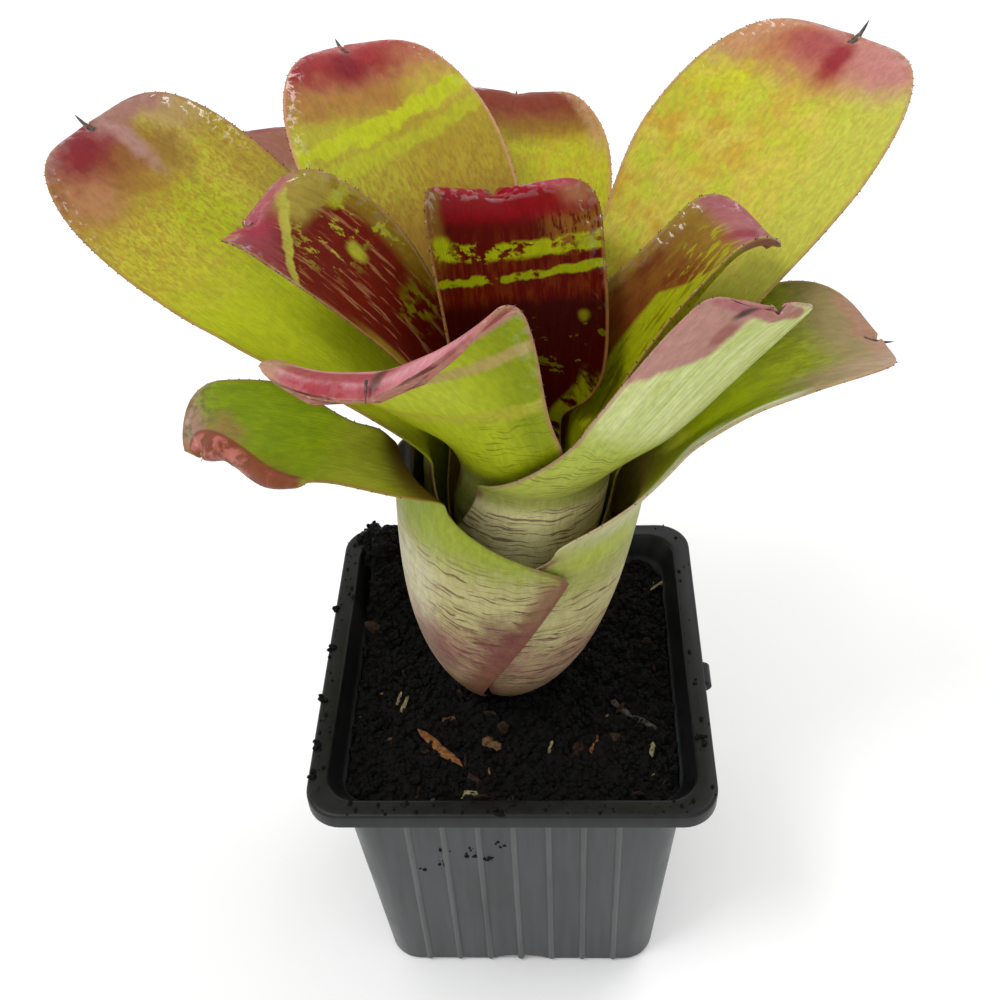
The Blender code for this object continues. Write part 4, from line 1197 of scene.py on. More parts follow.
class Paint:
    """The colours of one leaf, laid over each other in thin coats.

    A coat shows only where everything that is named lets it. share, across, edge and from_tip: a
    pair, nothing at the first value and everything at the second. tilt: the same for the share run
    askew, as slope, start and end. band: its middle, half width and slope. patch: a soft oval, as
    share, across and half sizes. marks: size, stretch, amount, softness and seed of blotches.
    ragged: how far the borders waver. Shares under 0 are on the sheath, which starts at -1.
    """

    def __init__(self, name, inner, outer):
        self.material, self.tree, self.shader = new_material(name)
        self.facts = {}
        for label in ("across", "share", "edge", "from_tip", "inner"):
            self.facts[label] = place(self.tree, "ShaderNodeAttribute",
                                      attribute_name=label).outputs["Fac"]
        self.flat = place(self.tree, "ShaderNodeAttribute", attribute_name="flat").outputs["Vector"]
        self.facts["outer"] = self.math("SUBTRACT", 1.0, self.facts["inner"])
        cloud = place(self.tree, "ShaderNodeTexNoise", {"Vector": self.flat, "Scale": 260.0, "Detail": 4.0})
        self.wobble = self.math("SUBTRACT", cloud.outputs["Fac"], 0.5)
        self.colour = self.mix(self.facts["inner"], tint(*outer), tint(*inner))

    def math(self, operation, first, second):
        return calc(self.tree, operation, first, second)

    def mix(self, mask, under, over):
        return place(self.tree, "ShaderNodeMix", {0: mask, 6: under, 7: over}, data_type="RGBA").outputs[2]

    def gate(self, value, start, end):
        """Nothing at the start value and everything at the end value, with a soft change between."""
        return place(self.tree, "ShaderNodeMapRange", {"Value": value, "From Min": start, "From Max": end},
                     interpolation_type="SMOOTHSTEP").outputs[0]

    def marks(self, size, stretch, amount, softness, seed):
        return place(self.tree, "ShaderNodeGroup", {"Vector": self.flat, "Size": size, "Stretch": stretch,
                     "Amount": amount, "Softness": softness, "Seed": seed}, node_tree=blotches).outputs[0]

    def slanted(self, slope, ragged):
        """The share along the blade, made to run askew across it and to waver."""
        askew = self.math("MULTIPLY", self.facts["across"], slope)
        askew = self.math("ADD", self.facts["share"], askew)
        return self.math("ADD", askew, self.math("MULTIPLY", self.wobble, ragged))

    def coat(self, colour, strength=1.0, on=None, marks=None, band=None, patch=None, tilt=None,
             ragged=0.0, **gates):
        """Lays a colour, given as it looks in this light, where all that is named lets it through."""
        mask = strength
        if on:
            mask = self.math("MULTIPLY", self.facts[on], mask)
        for label, (start, end) in gates.items():
            value = self.facts[label]
            if ragged:
                value = self.math("ADD", value, self.math("MULTIPLY", self.wobble, ragged))
            mask = self.math("MULTIPLY", mask, self.gate(value, start, end))
        if band:
            middle, half, slope = band
            away = self.math("SUBTRACT", self.slanted(slope, ragged), middle)
            away = self.math("ABSOLUTE", away, 0.0)
            mask = self.math("MULTIPLY", mask, self.gate(away, half * 1.3, half * 0.6))
        if tilt:
            slope, start, end = tilt
            mask = self.math("MULTIPLY", mask, self.gate(self.slanted(slope, ragged), start, end))
        if patch:
            share, across, long, wide = patch
            off_share = self.math("DIVIDE", self.math("SUBTRACT", self.facts["share"], share), long)
            off_across = self.math("DIVIDE", self.math("SUBTRACT", self.facts["across"], across), wide)
            off = place(self.tree, "ShaderNodeCombineXYZ", {"X": off_share, "Y": off_across}).outputs[0]
            away = place(self.tree, "ShaderNodeVectorMath", {0: off}, operation="LENGTH").outputs["Value"]
            away = self.math("ADD", away, self.math("MULTIPLY", self.wobble, PATCH_RAGGED))
            mask = self.math("MULTIPLY", mask, self.gate(away, 1.55, 0.35))
        if marks:
            mask = self.math("MULTIPLY", mask, self.marks(*marks))
        self.colour = self.mix(mask, self.colour, tint(*colour))

    def inside(self, colour, strength=1.0, **where):
        """A coat on the face of the leaf that looks up and in."""
        self.coat(colour, strength, on="inner", **where)

    def outside(self, colour, strength=1.0, **where):
        """A coat on the back of the leaf."""
        self.coat(colour, strength, on="outer", **where)

    def finish(self, roughness, specular, wet, glaze, seed):
        """Joins the colour, the gloss and the fine lengthwise veins to the shader."""
        tree = self.tree
        cells = self.marks(0.0011, 2.2, 0.5, 0.5, seed + 31.0)
        depth = remap(tree, cells, (0.0, 1.0), (0.88, 1.10))
        colour = place(tree, "ShaderNodeVectorMath", {0: self.colour, "Scale": depth}, operation="SCALE")
        dull = self.marks(0.004, 2.0, 0.5, 0.5, seed + 40.0)
        rough = remap(tree, dull, (0.0, 1.0), (roughness - 0.06, roughness + 0.12))
        beads = place(tree, "ShaderNodeTexNoise", {"Vector": self.flat, "Scale": BEAD_SCALE, "Detail": 1.0})
        film = self.math("MULTIPLY", self.gate(self.facts["edge"], *WET_MARGIN),
                         self.gate(self.facts["from_tip"], *WET_REACH))
        crest = self.math("MULTIPLY", self.gate(self.facts["from_tip"], *CREST_BELOW),
                          self.gate(self.facts["from_tip"], *CREST_ABOVE))
        film = self.math("MAXIMUM", self.math("MULTIPLY", film, wet), self.math("MULTIPLY", crest, glaze))
        film = self.math("MULTIPLY", film, self.gate(beads.outputs["Fac"], *BEAD_EDGE))
        broken = place(tree, "ShaderNodeBump", {"Height": beads.outputs["Fac"], "Strength": 0.45,
                       "Distance": 0.0010})
        veins = self.marks(0.00045, 40.0, 0.5, 0.5, seed + 11.0)
        pits = self.marks(0.0011, 2.5, 0.5, 0.5, seed + 23.0)
        relief = self.math("ADD", veins, self.math("MULTIPLY", pits, 0.8))
        bump = place(tree, "ShaderNodeBump", {"Height": relief, "Strength": 0.4, "Distance": 0.00016})
        feed(tree, self.shader, {"Base Color": colour.outputs[0], "Roughness": rough,
                                 "Specular IOR Level": specular, "Coat Weight": film,
                                 "Coat Roughness": 0.10, "Coat Normal": broken.outputs[0],
                                 "Subsurface Weight": 0.08, "Subsurface Radius": FLESH_GLOW,
                                 "Normal": bump.outputs[0]})
        return self.material


def horn():
    """The dark brown horn of the spines, mottled darker and lighter."""
    material, tree, shader = new_material("spine_horn")
    here = place(tree, "ShaderNodeTexCoord").outputs["Object"]
    cloud = place(tree, "ShaderNodeTexNoise", {"Vector": here, "Scale": 1500.0, "Detail": 3.0})
    ramp = place(tree, "ShaderNodeValToRGB", {"Fac": cloud.outputs["Fac"]})
    set_ramp(ramp, (0.35, tint(30, 22, 18)), (0.70, tint(92, 72, 58)))
    bump = place(tree, "ShaderNodeBump", {"Height": cloud.outputs["Fac"], "Strength": 0.5,
                 "Distance": 0.0002})
    feed(tree, shader, {"Base Color": ramp.outputs["Color"], "Roughness": 0.45, "Normal": bump.outputs[0]})
    return material


spine_horn = horn()
margin_teeth = tooth_tree()
LIME = (168, 182, 16)
OLIVE = (122, 104, 22)


def grow_leaf(node, layer, slot, paint, roughness=0.46, specular=0.12, wet=0.6, glaze=0.0, **form):
    """Makes one leaf from its form, gives it its paint, and sets its spine and its teeth.

    wet: how strong the glints are along the margin near the tip. glaze: the same for the crest of
    the rolled tip.
    """
    leaf = Leaf(layer, form)
    mesh = leaf_mesh(node + "_blade", leaf, layer + 1.0)
    piece = bpy.data.objects.new(node + "_blade", mesh)
    bpy.context.scene.collection.objects.link(piece)
    mesh.materials.append(paint.finish(roughness, specular, wet, glaze, layer + 1.0))
    mesh.materials.append(spine_horn)
    row_step = 1.25 * leaf.length / BLADE_ROWS
    grow(piece, margin_teeth, {"Spacing": TOOTH_SPACING, "Row Step": row_step, "Size": TOOTH_SIZE,
                               "Seed": layer, "Material": spine_horn})
    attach(piece, "root")
    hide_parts(node)
    return piece


def sheath_coats(paint, seed):
    """What every sheath has outside: yellow green going tan and mauve, browner at the foot, partly as
    painted shade, with thin cross dashes.
    """
    paint.outside((158, 162, 84), share=(0.12, -0.06), ragged=0.1)
    paint.outside((184, 176, 124), share=(-0.12, -0.30), ragged=0.2)
    paint.outside((168, 142, 114), 0.9, share=(-0.36, -0.55), ragged=0.3)
    paint.outside((156, 116, 104), 0.8, share=(-0.40, -0.60),
               marks=(0.009, 0.5, 0.5, 0.3, seed + 3.0))
    # Darker brown at the foot of the sheath: partly its own colour, partly painted shade deep in the tube.
    paint.outside((122, 98, 66), 0.9, share=(-0.70, -0.92))
    paint.outside((132, 122, 58), 0.55, share=(0.02, -0.06),
               marks=(0.0110, 0.040, 0.34, 0.08, seed + 5.0))
    paint.outside((104, 70, 58), 0.85, share=(-0.10, -0.26),
               marks=(0.0090, 0.095, 0.30, 0.04, seed + 6.0))
    paint.outside((120, 76, 76), 0.7, share=(-0.30, -0.44),
               marks=(0.0060, 0.12, 0.28, 0.04, seed + 7.0))
    paint.outside((126, 84, 74), 0.9, share=(0.02, -0.03), edge=(0.0020, 0.0005),
               ragged=0.001)


def edge_coats(paint, colour=(150, 112, 62)):
    """A thin tan or reddish line along the margins of the blade."""
    paint.coat(colour, 0.7, edge=(0.0007, 0.0001), share=(0.0, 0.1))


# Leaf 1
# The lowest leaf on the left: vivid green inside, its coral tip rolled over in two lobes, and
# its sheath the outermost of all, crossing the front of the tube.
paint = Paint("leaf_01_paint", inner=(130, 150, 6), outer=(146, 156, 66))
paint.inside((112, 134, 4), 0.6, marks=(0.0035, 2.0, 0.5, 0.3, 1.0))
paint.inside((154, 156, 44), 0.8, share=(0.42, 0.20), ragged=0.1)
paint.inside((110, 98, 12), 0.8, share=(0.38, 0.58), across=(0.15, 0.70), ragged=0.1)
paint.inside((76, 50, 14), 0.9, share=(0.16, 0.04))
paint.inside((150, 112, 74), 0.8, patch=(0.82, -0.05, 0.12, 0.35))
paint.coat((158, 118, 104), 0.9, from_tip=(0.009, 0.004), ragged=0.006)
paint.coat((110, 98, 52), 0.7, from_tip=(0.013, 0.008), marks=(0.002, 1.0, 0.4, 0.2, 3.0))
paint.coat((126, 62, 40), 0.95, share=(0.36, 0.42), tilt=(0.4545, 0.765, 0.790))
# Painted highlights: pink blotches on the upper part of the rolled-under margin, over its dark red-brown.
paint.coat((188, 110, 98), 0.8, share=(0.45, 0.65), tilt=(0.4545, 0.790, 0.830),
           marks=(0.0030, 2.0, 0.45, 0.15, 3.5))
sheath_coats(paint, 1.0)
paint.outside((144, 160, 44), 0.85, share=(-0.22, -0.08), ragged=0.06)
# A painted highlight: a whitish sheen down the left of the tube.
paint.outside((206, 200, 168), 0.6, share=(-0.18, -0.30), across=(0.36, 0.08), ragged=0.1)
paint.outside((126, 86, 66), 0.85, share=(-0.16, -0.24), edge=(0.0075, 0.0030),
           ragged=0.004)
paint.outside((118, 66, 72), 0.5, patch=(-0.52, 0.85, 0.10, 0.22))
paint.outside((104, 46, 54), 0.55, patch=(-0.42, 0.76, 0.08, 0.16))
paint.outside((132, 88, 86), 0.7, patch=(-0.62, 0.15, 0.13, 0.34))
edge_coats(paint)
grow_leaf("leaf_01_left_low", 0, "leaf_green", paint, wet=0.8, spine=0.0012,
          azimuth=-148, leave=0.150, tip=(178, 0.072, 0.1435), end=-17, rise=0.06, width=0.016, wrap=80,
          hem=(0.345, 0.98, 2.2, 0.0029),
          wrap_top=22, wrap_low=30, neck_at=0.25, roll=-3, hold=0.78, oblique=-0.016, neck=0.56)

# Leaf 2
# The lowest leaf on the right: green inside, with a greyish pink tip that ends in a stout spine.
paint = Paint("leaf_02_paint", inner=(142, 158, 8), outer=(190, 190, 140))
paint.inside((118, 128, 10), 0.5, share=(0.42, 0.60), marks=(0.0040, 2.0, 0.6, 0.3, 4.0))
paint.inside((110, 106, 26), 0.5, share=(0.50, 0.66), marks=(0.0014, 2.5, 0.5, 0.2, 4.5))
paint.inside((168, 176, 46), 0.8, share=(0.34, 0.22), ragged=0.1)
# Pale tan near the foot of the blade: the tan is its own colour, its lightness painted light over the shade
# in the cup.
paint.inside((206, 180, 84), 0.9, share=(0.18, 0.06), ragged=0.05)
paint.inside((232, 236, 206), 0.9, across=(-0.80, -0.87), share=(0.46, 0.30))
paint.inside((232, 236, 206), 0.9, across=(-0.89, -0.94), share=(0.72, 0.60))
paint.coat((146, 126, 88), 0.9, share=(0.70, 0.86), ragged=0.12)
paint.coat((164, 122, 100), 0.9, from_tip=(0.007, 0.003), ragged=0.006)
paint.inside((168, 140, 112), 0.7, share=(0.56, 0.72), across=(-0.45, -0.75), ragged=0.08)
sheath_coats(paint, 2.0)
paint.outside((166, 176, 70), 0.9, patch=(-0.03, -0.62, 0.05, 0.30))
edge_coats(paint, (186, 150, 116))
grow_leaf("leaf_02_right_low", 1, "leaf_green", paint, wet=0.2, spine=0.0038,
          azimuth=5, leave=0.141, tip=(10, 0.0695, 0.174), end=-5, rise=0.35, width=0.019, wrap=108,
          wrap_top=80, neck_at=0.3, roll=-4, hold=0.85, curl=30, blunt=3.0)

# Leaf 3
# Behind on the left, between leaves 5 and 8, and hidden by them but for its mauve-brown tip, which
# rolls back a little.
paint = Paint("leaf_03_paint", inner=(176, 178, 60), outer=(150, 158, 40))
paint.coat((142, 84, 74), 0.95, share=(0.66, 0.80), ragged=0.06)
paint.coat((128, 60, 62), 0.9, from_tip=(0.010, 0.004), ragged=0.004)
paint.inside(OLIVE, 0.7, share=(0.20, 0.05))
sheath_coats(paint, 3.0)
edge_coats(paint)
grow_leaf("leaf_03_back_left_low", 2, "leaf_green", paint, spine=0.0045,
          azimuth=132, leave=0.147, tip=(126, 0.130, 0.163), end=5, rise=0.04, width=0.018, wrap_top=40,
          neck_at=0.15, curl=40, roll=10, out=60)

# Leaf 4
# Straight behind: lime yellow, with a maroon-brown top that has a ragged lower edge.
paint = Paint("leaf_04_paint", inner=(178, 168, 26), outer=(150, 160, 36))
paint.inside(LIME, 0.7, marks=(0.005, 1.3, 0.5, 0.3, 6.0))
paint.inside((176, 140, 52), 0.55, marks=(0.0008, 2.0, 0.46, 0.3, 6.5))
paint.inside((130, 88, 18), 0.9, share=(0.68, 0.78), ragged=0.08)
paint.coat((120, 46, 30), 0.95, share=(0.76, 0.86), ragged=0.08)
paint.coat((150, 88, 72), 0.8, from_tip=(0.008, 0.003), ragged=0.004)
paint.inside((176, 132, 84), 0.7, across=(-0.72, -0.92), share=(0.60, 0.75), ragged=0.1)
sheath_coats(paint, 4.0)
edge_coats(paint, (190, 138, 90))
grow_leaf("leaf_04_back", 3, "leaf_green", paint, wet=1.0, spine=0.0040, spine_bend=0.8,
          azimuth=92, leave=0.146, tip=(93, 0.105, 0.180), end=10, rise=0.18, width=0.0205, wrap_top=34,
          neck_at=0.15, curl=50, blunt=2.0)

# Leaf 5
# The long leaf on the left: lime low down, khaki with fine brown streaks further up, and a
# mauve grey tip with a crimson lobe beside the spine.
paint = Paint("leaf_05_paint", inner=(170, 180, 20), outer=(150, 160, 40))
paint.inside((180, 172, 50), 0.8, share=(0.40, 0.62), ragged=0.3)
paint.inside((162, 174, 10), 0.9, patch=(0.64, -0.12, 0.16, 0.30))
paint.inside((160, 140, 40), 0.7, across=(-0.50, -0.80), share=(0.45, 0.60), ragged=0.1)
paint.inside((150, 104, 44), 0.65, share=(0.35, 0.70), marks=(0.0006, 2.5, 0.48, 0.3, 7.0))
paint.inside((156, 122, 42), 0.9, share=(0.68, 0.80), across=(-0.6, -0.1), ragged=0.15)
paint.inside((134, 84, 44), 0.9, share=(0.74, 0.86), across=(-0.5, 0.0), ragged=0.12)
paint.inside((170, 140, 96), 0.8, share=(0.76, 0.90), across=(-0.35, -0.7), ragged=0.15)
paint.inside((170, 120, 82), 0.8, patch=(0.84, 0.62, 0.08, 0.30))
paint.coat((150, 104, 98), 0.9, from_tip=(0.013, 0.006), ragged=0.008)
paint.inside((130, 90, 40), 0.7, patch=(0.82, -0.42, 0.07, 0.16))
paint.inside((164, 124, 116), 0.9, patch=(0.90, -0.18, 0.10, 0.10))
paint.inside((122, 28, 38), 0.95, patch=(0.93, 0.40, 0.075, 0.42))
sheath_coats(paint, 5.0)
edge_coats(paint, (158, 116, 66))
grow_leaf("leaf_05_left", 4, "leaf_green", paint, wet=0.9, spine=0.0046, spine_bend=0.7,
          azimuth=166, leave=0.149, tip=(148, 0.120, 0.1835), end=35, rise=0.1, width=0.022, wrap_top=38,
          curl=45, roll=-20, widest=0.68, neck=0.92, neck_at=0.3, out=12, blunt=2.4)

# Leaf 6
# The longest leaf, on the right: yellow green mottled with orange brown, the tip crimson and
# pale mauve under its upright spine.
paint = Paint("leaf_06_paint", inner=(200, 186, 72), outer=(170, 172, 60))
paint.inside((194, 156, 50), 0.85, across=(-0.25, 0.35), marks=(0.006, 1.3, 0.50, 0.20, 8.0))
paint.inside((182, 190, 50), 0.85, marks=(0.007, 1.2, 0.45, 0.20, 9.0))
paint.inside((184, 190, 72), 0.8, across=(-0.15, -0.60), ragged=0.3)
paint.inside((196, 200, 30), 0.8, patch=(0.76, 0.72, 0.05, 0.25))
paint.inside((178, 138, 64), 0.35, marks=(0.0009, 1.6, 0.46, 0.3, 10.0))
paint.inside((150, 112, 20), 0.8, share=(0.36, 0.22), across=(-0.1, 0.4), ragged=0.1)
paint.inside((140, 140, 10), 0.8, share=(0.40, 0.28), across=(0.3, -0.1))
paint.inside((182, 124, 82), 0.9, share=(0.76, 0.86), across=(-0.55, -0.15), ragged=0.10)
paint.inside((170, 92, 72), 0.9, share=(0.83, 0.93), across=(-0.30, -0.05), ragged=0.12)
paint.coat((190, 140, 100), 0.8, across=(0.60, 0.86), share=(0.70, 0.86), ragged=0.06)
paint.inside((176, 104, 94), 0.9, share=(0.83, 0.91), across=(0.60, 0.30), ragged=0.08)
paint.inside((186, 122, 116), 0.9, patch=(0.91, -0.62, 0.085, 0.42))
paint.inside((160, 72, 70), 0.8, patch=(0.93, 0.25, 0.055, 0.34))
paint.inside((142, 34, 42), 0.95, patch=(0.91, -0.06, 0.085, 0.14))
paint.coat((182, 120, 106), 0.85, from_tip=(0.006, 0.002), ragged=0.004)
sheath_coats(paint, 6.0)
edge_coats(paint, (178, 134, 92))
grow_leaf("leaf_06_right", 5, "leaf_green", paint, wet=1.0, spine=0.0050, spine_bend=0.8,
          azimuth=35, leave=0.144, tip=(50, 0.106, 0.2075), end=22, rise=0.12, width=0.0262, wrap_top=45,
          neck=0.75, curl=30, blunt=2.3, widest=0.6)

# Leaf 7
# Front right, seen from outside: pale silvery green, lime at its foot, with the rosy lip of its
# tip rolled towards the camera.
paint = Paint("leaf_07_paint", inner=(190, 176, 128), outer=(202, 212, 134))
paint.outside((222, 228, 166), 0.7, share=(0.20, 0.45), marks=(0.0012, 30.0, 0.5, 0.3, 11.5))
paint.outside((180, 194, 104), 0.6, share=(0.20, 0.40), marks=(0.0007, 40.0, 0.42, 0.2, 11.7))
paint.outside((172, 184, 70), 0.9, share=(0.40, 0.24), ragged=0.15)
paint.outside((170, 176, 76), 0.9, share=(0.22, 0.06), ragged=0.15)
paint.outside((116, 116, 36), 0.65, share=(0.34, 0.20), marks=(0.0100, 0.04, 0.34, 0.08, 11.0))
paint.inside((184, 136, 130), 0.95, share=(0.35, 0.55), ragged=0.06)
paint.outside((184, 132, 124), 0.95, tilt=(-0.25, 0.790, 0.835), across=(-0.16, -0.30),
           ragged=0.06)
paint.outside((152, 88, 80), 0.75, patch=(0.84, -0.34, 0.07, 0.11))
paint.coat((172, 104, 106), 0.9, from_tip=(0.0036, 0.0022), across=(0.78, 0.66), ragged=0.001)
paint.coat((66, 48, 40), 0.95, patch=(0.955, -0.42, 0.035, 0.08))
sheath_coats(paint, 7.0)
# Painted light: the top of the sheath is made pale cream, lighter than it is, where it lies in shade inside
# the V.
paint.outside((238, 230, 168), 0.85, share=(-0.02, -0.08))
paint.outside((124, 88, 72), 0.8, share=(-0.02, -0.06), marks=(0.0110, 0.06, 0.34, 0.04, 12.4))
edge_coats(paint, (176, 128, 118))
grow_leaf("leaf_07_front_right", 6, "leaf_green", paint, wet=0.5, spine=0.0016,
          azimuth=-62, leave=0.150, tip=(-18, 0.0420, 0.1950), end=45, rise=0.25, width=0.0120, wrap_top=60,
          neck=1.0, neck_at=0.3, channel=0.03, channel_tip=0.03, face=-68, curl=10, blunt=4.5, widest=0.85,
          heading=15, out=56, oblique=0.005)

# Leaf 8
# The tall leaf behind on the left: a crimson top third, then a bright lime band that climbs to
# the right, and khaki below it.
paint = Paint("leaf_08_paint", inner=(160, 140, 40), outer=(150, 160, 30))
paint.inside((170, 166, 46), 0.8, across=(-0.40, 0.40), share=(0.30, 0.60), ragged=0.2)
paint.inside((144, 106, 30), 0.8, share=(0.56, 0.44), ragged=0.1)
paint.inside((140, 96, 34), 0.6, share=(0.75, 0.55), marks=(0.0007, 2.5, 0.46, 0.3, 12.0))
paint.inside((178, 160, 58), 0.9, share=(0.70, 0.76), across=(-0.2, -0.6), ragged=0.08)
paint.inside((158, 108, 54), 0.9, share=(0.72, 0.80), across=(-0.55, -0.10), ragged=0.10)
paint.inside((176, 182, 24), 0.95, band=(0.725, 0.023, 0.065), ragged=0.09)
paint.inside((172, 178, 32), 0.6, band=(0.655, 0.022, 0.065), ragged=0.06)
paint.inside((168, 104, 76), 0.9, share=(0.80, 0.88), ragged=0.08)
paint.coat((136, 38, 36), 0.95, share=(0.82, 0.90), across=(-0.75, -0.25), ragged=0.08)
paint.coat((150, 50, 54), 0.8, share=(0.87, 0.95), ragged=0.06)
paint.inside((120, 18, 34), 0.95, patch=(0.90, 0.15, 0.06, 0.22))
paint.coat((186, 112, 110), 0.7, from_tip=(0.005, 0.001), ragged=0.004)
sheath_coats(paint, 8.0)
edge_coats(paint, (196, 140, 110))
grow_leaf("leaf_08_back_left", 7, "leaf_green", paint, wet=1.0, spine=0.0045, spine_bend=0.5,
          azimuth=125, leave=0.147, tip=(120.5, 0.090, 0.199), end=25, rise=0.14, width=0.023, wrap_top=42,
          curl=40, roll=-4, blunt=2.1, channel_tip=0.1)

# Leaf 9
# Front and centre, seen from outside: lime with a khaki band and fine dark cross lines, under
# a broad mauve and crimson lip.
paint = Paint("leaf_09_paint", inner=(160, 150, 40), outer=(172, 184, 34))
paint.outside((190, 200, 60), 0.8, share=(0.40, 0.60), across=(0.55, 0.15), ragged=0.1)
paint.outside((134, 148, 6), 0.9, across=(0.42, 0.85), ragged=0.1)
paint.outside((176, 172, 54), 0.8, band=(0.47, 0.03, 0.04), ragged=0.06)
paint.outside((180, 158, 92), 0.9, band=(0.72, 0.025, 0.05), ragged=0.04)
paint.outside((118, 118, 12), 0.75, share=(0.48, 0.38), across=(-0.2, 0.1),
           marks=(0.0080, 0.05, 0.32, 0.06, 13.0))
paint.outside((122, 122, 20), 0.8, share=(0.16, 0.02), ragged=0.08)
paint.coat((186, 128, 120), 0.95, share=(0.80, 0.85), ragged=0.03)
paint.inside((196, 134, 140), 0.9, share=(0.55, 0.70))
paint.coat((150, 58, 66), 0.9, band=(0.90, 0.035, 0.0), ragged=0.02)
paint.coat((178, 98, 102), 0.9, from_tip=(0.0025, 0.001), ragged=0.001)
paint.inside((206, 138, 146), 0.8, patch=(0.94, 0.50, 0.06, 0.40))
paint.inside((154, 48, 60), 0.85, patch=(0.97, -0.36, 0.035, 0.42))
paint.coat((178, 140, 112), 0.8, across=(-0.74, -0.90), share=(0.70, 0.85))
paint.coat((80, 54, 46), 0.9, patch=(0.90, 0.02, 0.070, 0.055))
sheath_coats(paint, 9.0)
edge_coats(paint, (176, 126, 96))
grow_leaf("leaf_09_front", 8, "leaf_green", paint, wet=0.8, glaze=0.3, spine=0.0012, swollen=0.0016,
          azimuth=-117, leave=0.148, tip=(-142, 0.0398, 0.1895), end=50, rise=0.33, width=0.0268,
          wrap_top=36, neck=0.66, channel=0.034, face=-96, blunt=7.0, channel_tip=0.06, widest=0.9, out=18,
          curl=105)

# Leaf 10
# An inner leaf on the right: brown red inside with a few lime streaks and a mauve tip; its near
# half turns up and shows a lime back with dark wavy lines.
paint = Paint("leaf_10_paint", inner=(124, 78, 20), outer=(144, 148, 8))
paint.inside((112, 62, 10), 0.8, share=(0.60, 0.42), ragged=0.1)
paint.inside((100, 34, 10), 0.7, marks=(0.0035, 2.5, 0.45, 0.25, 14.0))
paint.inside((140, 108, 34), 0.8, share=(0.66, 0.80), ragged=0.1)
paint.inside((158, 158, 24), 0.9, share=(0.52, 0.72), across=(0.75, 0.35),
           marks=(0.0020, 4.0, 0.40, 0.08, 15.0))
paint.inside((150, 120, 50), 0.7, edge=(0.0030, 0.0008), ragged=0.002)
paint.inside((154, 160, 10), 0.95, across=(0.43, 0.36), tilt=(0.27, 0.675, 0.650))
paint.coat((112, 106, 6), 0.75, across=(0.43, 0.30), tilt=(0.27, 0.675, 0.640),
           marks=(0.0012, 7.0, 0.36, 0.10, 16.0))
paint.outside((104, 92, 6), 0.7, share=(0.10, 0.20), marks=(0.0100, 0.06, 0.36, 0.06, 16.5))
paint.coat((158, 92, 98), 0.95, share=(0.83, 0.90), ragged=0.03)
paint.inside((138, 50, 60), 0.8, patch=(0.90, 0.12, 0.07, 0.10))
sheath_coats(paint, 10.0)
edge_coats(paint, (160, 132, 70))
grow_leaf("leaf_10_inner_right", 9, "leaf_maroon", paint, wet=0.8, spine=0.0018,
          azimuth=13, leave=0.150, tip=(22, 0.0445, 0.1965), end=32, rise=0.2, width=0.0138, wrap_top=80,
          neck=1.3, channel=0.0125, blunt=3.5, channel_tip=0.018, roll=-16, widest=0.82, out=40, curl=80)

# Leaf 11
# An inner leaf on the left: maroon with lime streaks across and along it, and a mauve and
# crimson tip drawn out to a spine.
paint = Paint("leaf_11_paint", inner=(98, 26, 8), outer=(150, 150, 30))
paint.inside((80, 16, 4), 0.8, share=(0.60, 0.40), ragged=0.1)
paint.inside((156, 110, 74), 0.6, marks=(0.0010, 9.0, 0.30, 0.10, 17.0))
paint.inside((128, 104, 24), 0.9, across=(-0.66, -0.86), share=(0.40, 0.55), ragged=0.08)
paint.inside((150, 150, 40), 0.9, share=(0.42, 0.56), across=(-0.30, -0.50),
           marks=(0.0045, 1.2, 0.30, 0.06, 18.0))
paint.inside((160, 160, 44), 0.9, patch=(0.66, -0.35, 0.030, 0.09))
paint.inside((150, 152, 36), 0.9, patch=(0.79, -0.72, 0.025, 0.10))
paint.inside((120, 112, 16), 0.9, patch=(0.44, -0.50, 0.060, 0.40),
           marks=(0.0026, 2.5, 0.50, 0.08, 18.5))
paint.inside((150, 150, 44), 0.9, patch=(0.74, -0.30, 0.10, 0.55),
           marks=(0.0020, 2.0, 0.30, 0.06, 18.7))
paint.inside((134, 110, 30), 0.85, across=(0.62, 0.82), share=(0.60, 0.45), ragged=0.08)
paint.inside((150, 134, 58), 0.9, share=(0.78, 0.84), across=(0.05, -0.35), ragged=0.05)
paint.inside((168, 168, 62), 0.95, band=(0.845, 0.016, 0.13), ragged=0.05)
paint.coat((134, 58, 64), 0.95, band=(1.03, 0.165, 0.13), across=(-0.75, -0.35), ragged=0.02)
paint.coat((162, 86, 92), 0.95, share=(0.90, 0.95), ragged=0.03)
paint.inside((150, 40, 60), 0.8, patch=(0.93, 0.25, 0.05, 0.35))
paint.outside((92, 78, 10), 0.8, marks=(0.0060, 0.10, 0.36, 0.06, 20.0))
sheath_coats(paint, 11.0)
edge_coats(paint, (152, 118, 70))
grow_leaf("leaf_11_inner_left", 10, "leaf_maroon", paint, wet=1.0, glaze=0.6, specular=0.06,
          spine=0.0035, roughness=0.42,
          azimuth=172, leave=0.146, tip=(164, 0.0615, 0.190), end=12, rise=0.22, width=0.0155,
          channel=0.0125, channel_tip=0.024, blunt=3.0, widest=0.7, roll=-8, wrap_top=42, neck=0.68,
          neck_at=0.3)

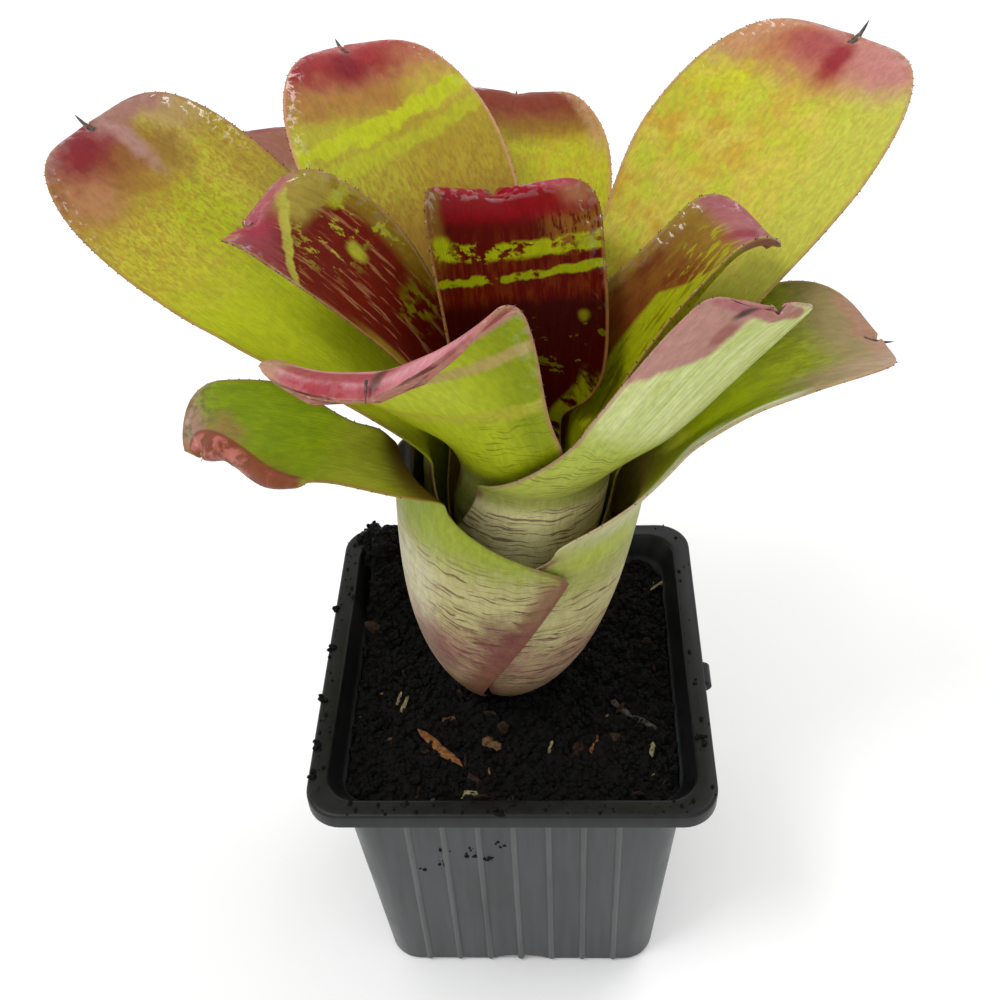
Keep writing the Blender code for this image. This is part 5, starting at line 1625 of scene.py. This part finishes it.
# Leaf 12
# The innermost leaf, upright behind the cup: a glossy crimson roll on top, very dark maroon
# below, with broken lime bands across it.
paint = Paint("leaf_12_paint", inner=(82, 16, 4), outer=(150, 156, 40))
paint.inside((104, 44, 8), 0.7, share=(0.80, 0.68), marks=(0.0012, 5.0, 0.42, 0.2, 21.0))
paint.inside((50, 8, 2), 0.9, share=(0.50, 0.44), ragged=0.05)
paint.inside((128, 92, 34), 0.8, share=(0.56, 0.70), across=(0.66, 0.86), ragged=0.06)
paint.inside((134, 90, 34), 0.85, share=(0.62, 0.70), across=(-0.25, -0.60),
           marks=(0.0013, 3.0, 0.60, 0.15, 21.5))
paint.inside((152, 160, 14), 0.95, band=(0.672, 0.036, 0.0), ragged=0.04,
           marks=(0.0034, 0.60, 0.50, 0.10, 22.0))
paint.inside((148, 158, 14), 0.95, patch=(0.690, 0.80, 0.035, 0.14))
paint.inside((146, 148, 30), 0.9, patch=(0.670, -0.82, 0.025, 0.12))
paint.inside((140, 150, 10), 0.95, band=(0.565, 0.016, 0.015), ragged=0.05,
           marks=(0.0060, 0.6, 0.68, 0.10, 23.0))
paint.inside((116, 112, 14), 0.85, patch=(0.40, -0.72, 0.020, 0.06))
paint.inside((100, 96, 12), 0.7, share=(0.44, 0.38), marks=(0.0040, 0.5, 0.20, 0.05, 24.0))
paint.coat((118, 6, 18), 0.95, share=(0.76, 0.82), across=(0.86, 0.66), ragged=0.04)
paint.coat((150, 100, 70), 0.8, share=(0.78, 0.86), across=(-0.55, -0.80), ragged=0.05)
paint.coat((138, 4, 32), 0.9, share=(0.90, 0.95), ragged=0.02)
paint.coat((168, 84, 96), 0.6, share=(0.89, 0.95), across=(-0.45, -0.75), ragged=0.03)
paint.inside((122, 124, 10), 0.85, share=(0.25, 0.20), across=(-0.66, -0.78),
           marks=(0.0060, 0.3, 0.60, 0.20, 25.0))
sheath_coats(paint, 12.0)
edge_coats(paint, (134, 92, 50))
grow_leaf("leaf_12_inner_back", 11, "leaf_maroon", paint, wet=1.0, glaze=1.0, specular=0.04,
          spine=0.0012, roughness=0.42,
          azimuth=106, leave=0.150, tip=(106, 0.0345, 0.192), end=50, rise=0.35, width=0.0203,
          channel=0.014, channel_tip=0.024, blunt=3.5, widest=0.65, neck=1.05)
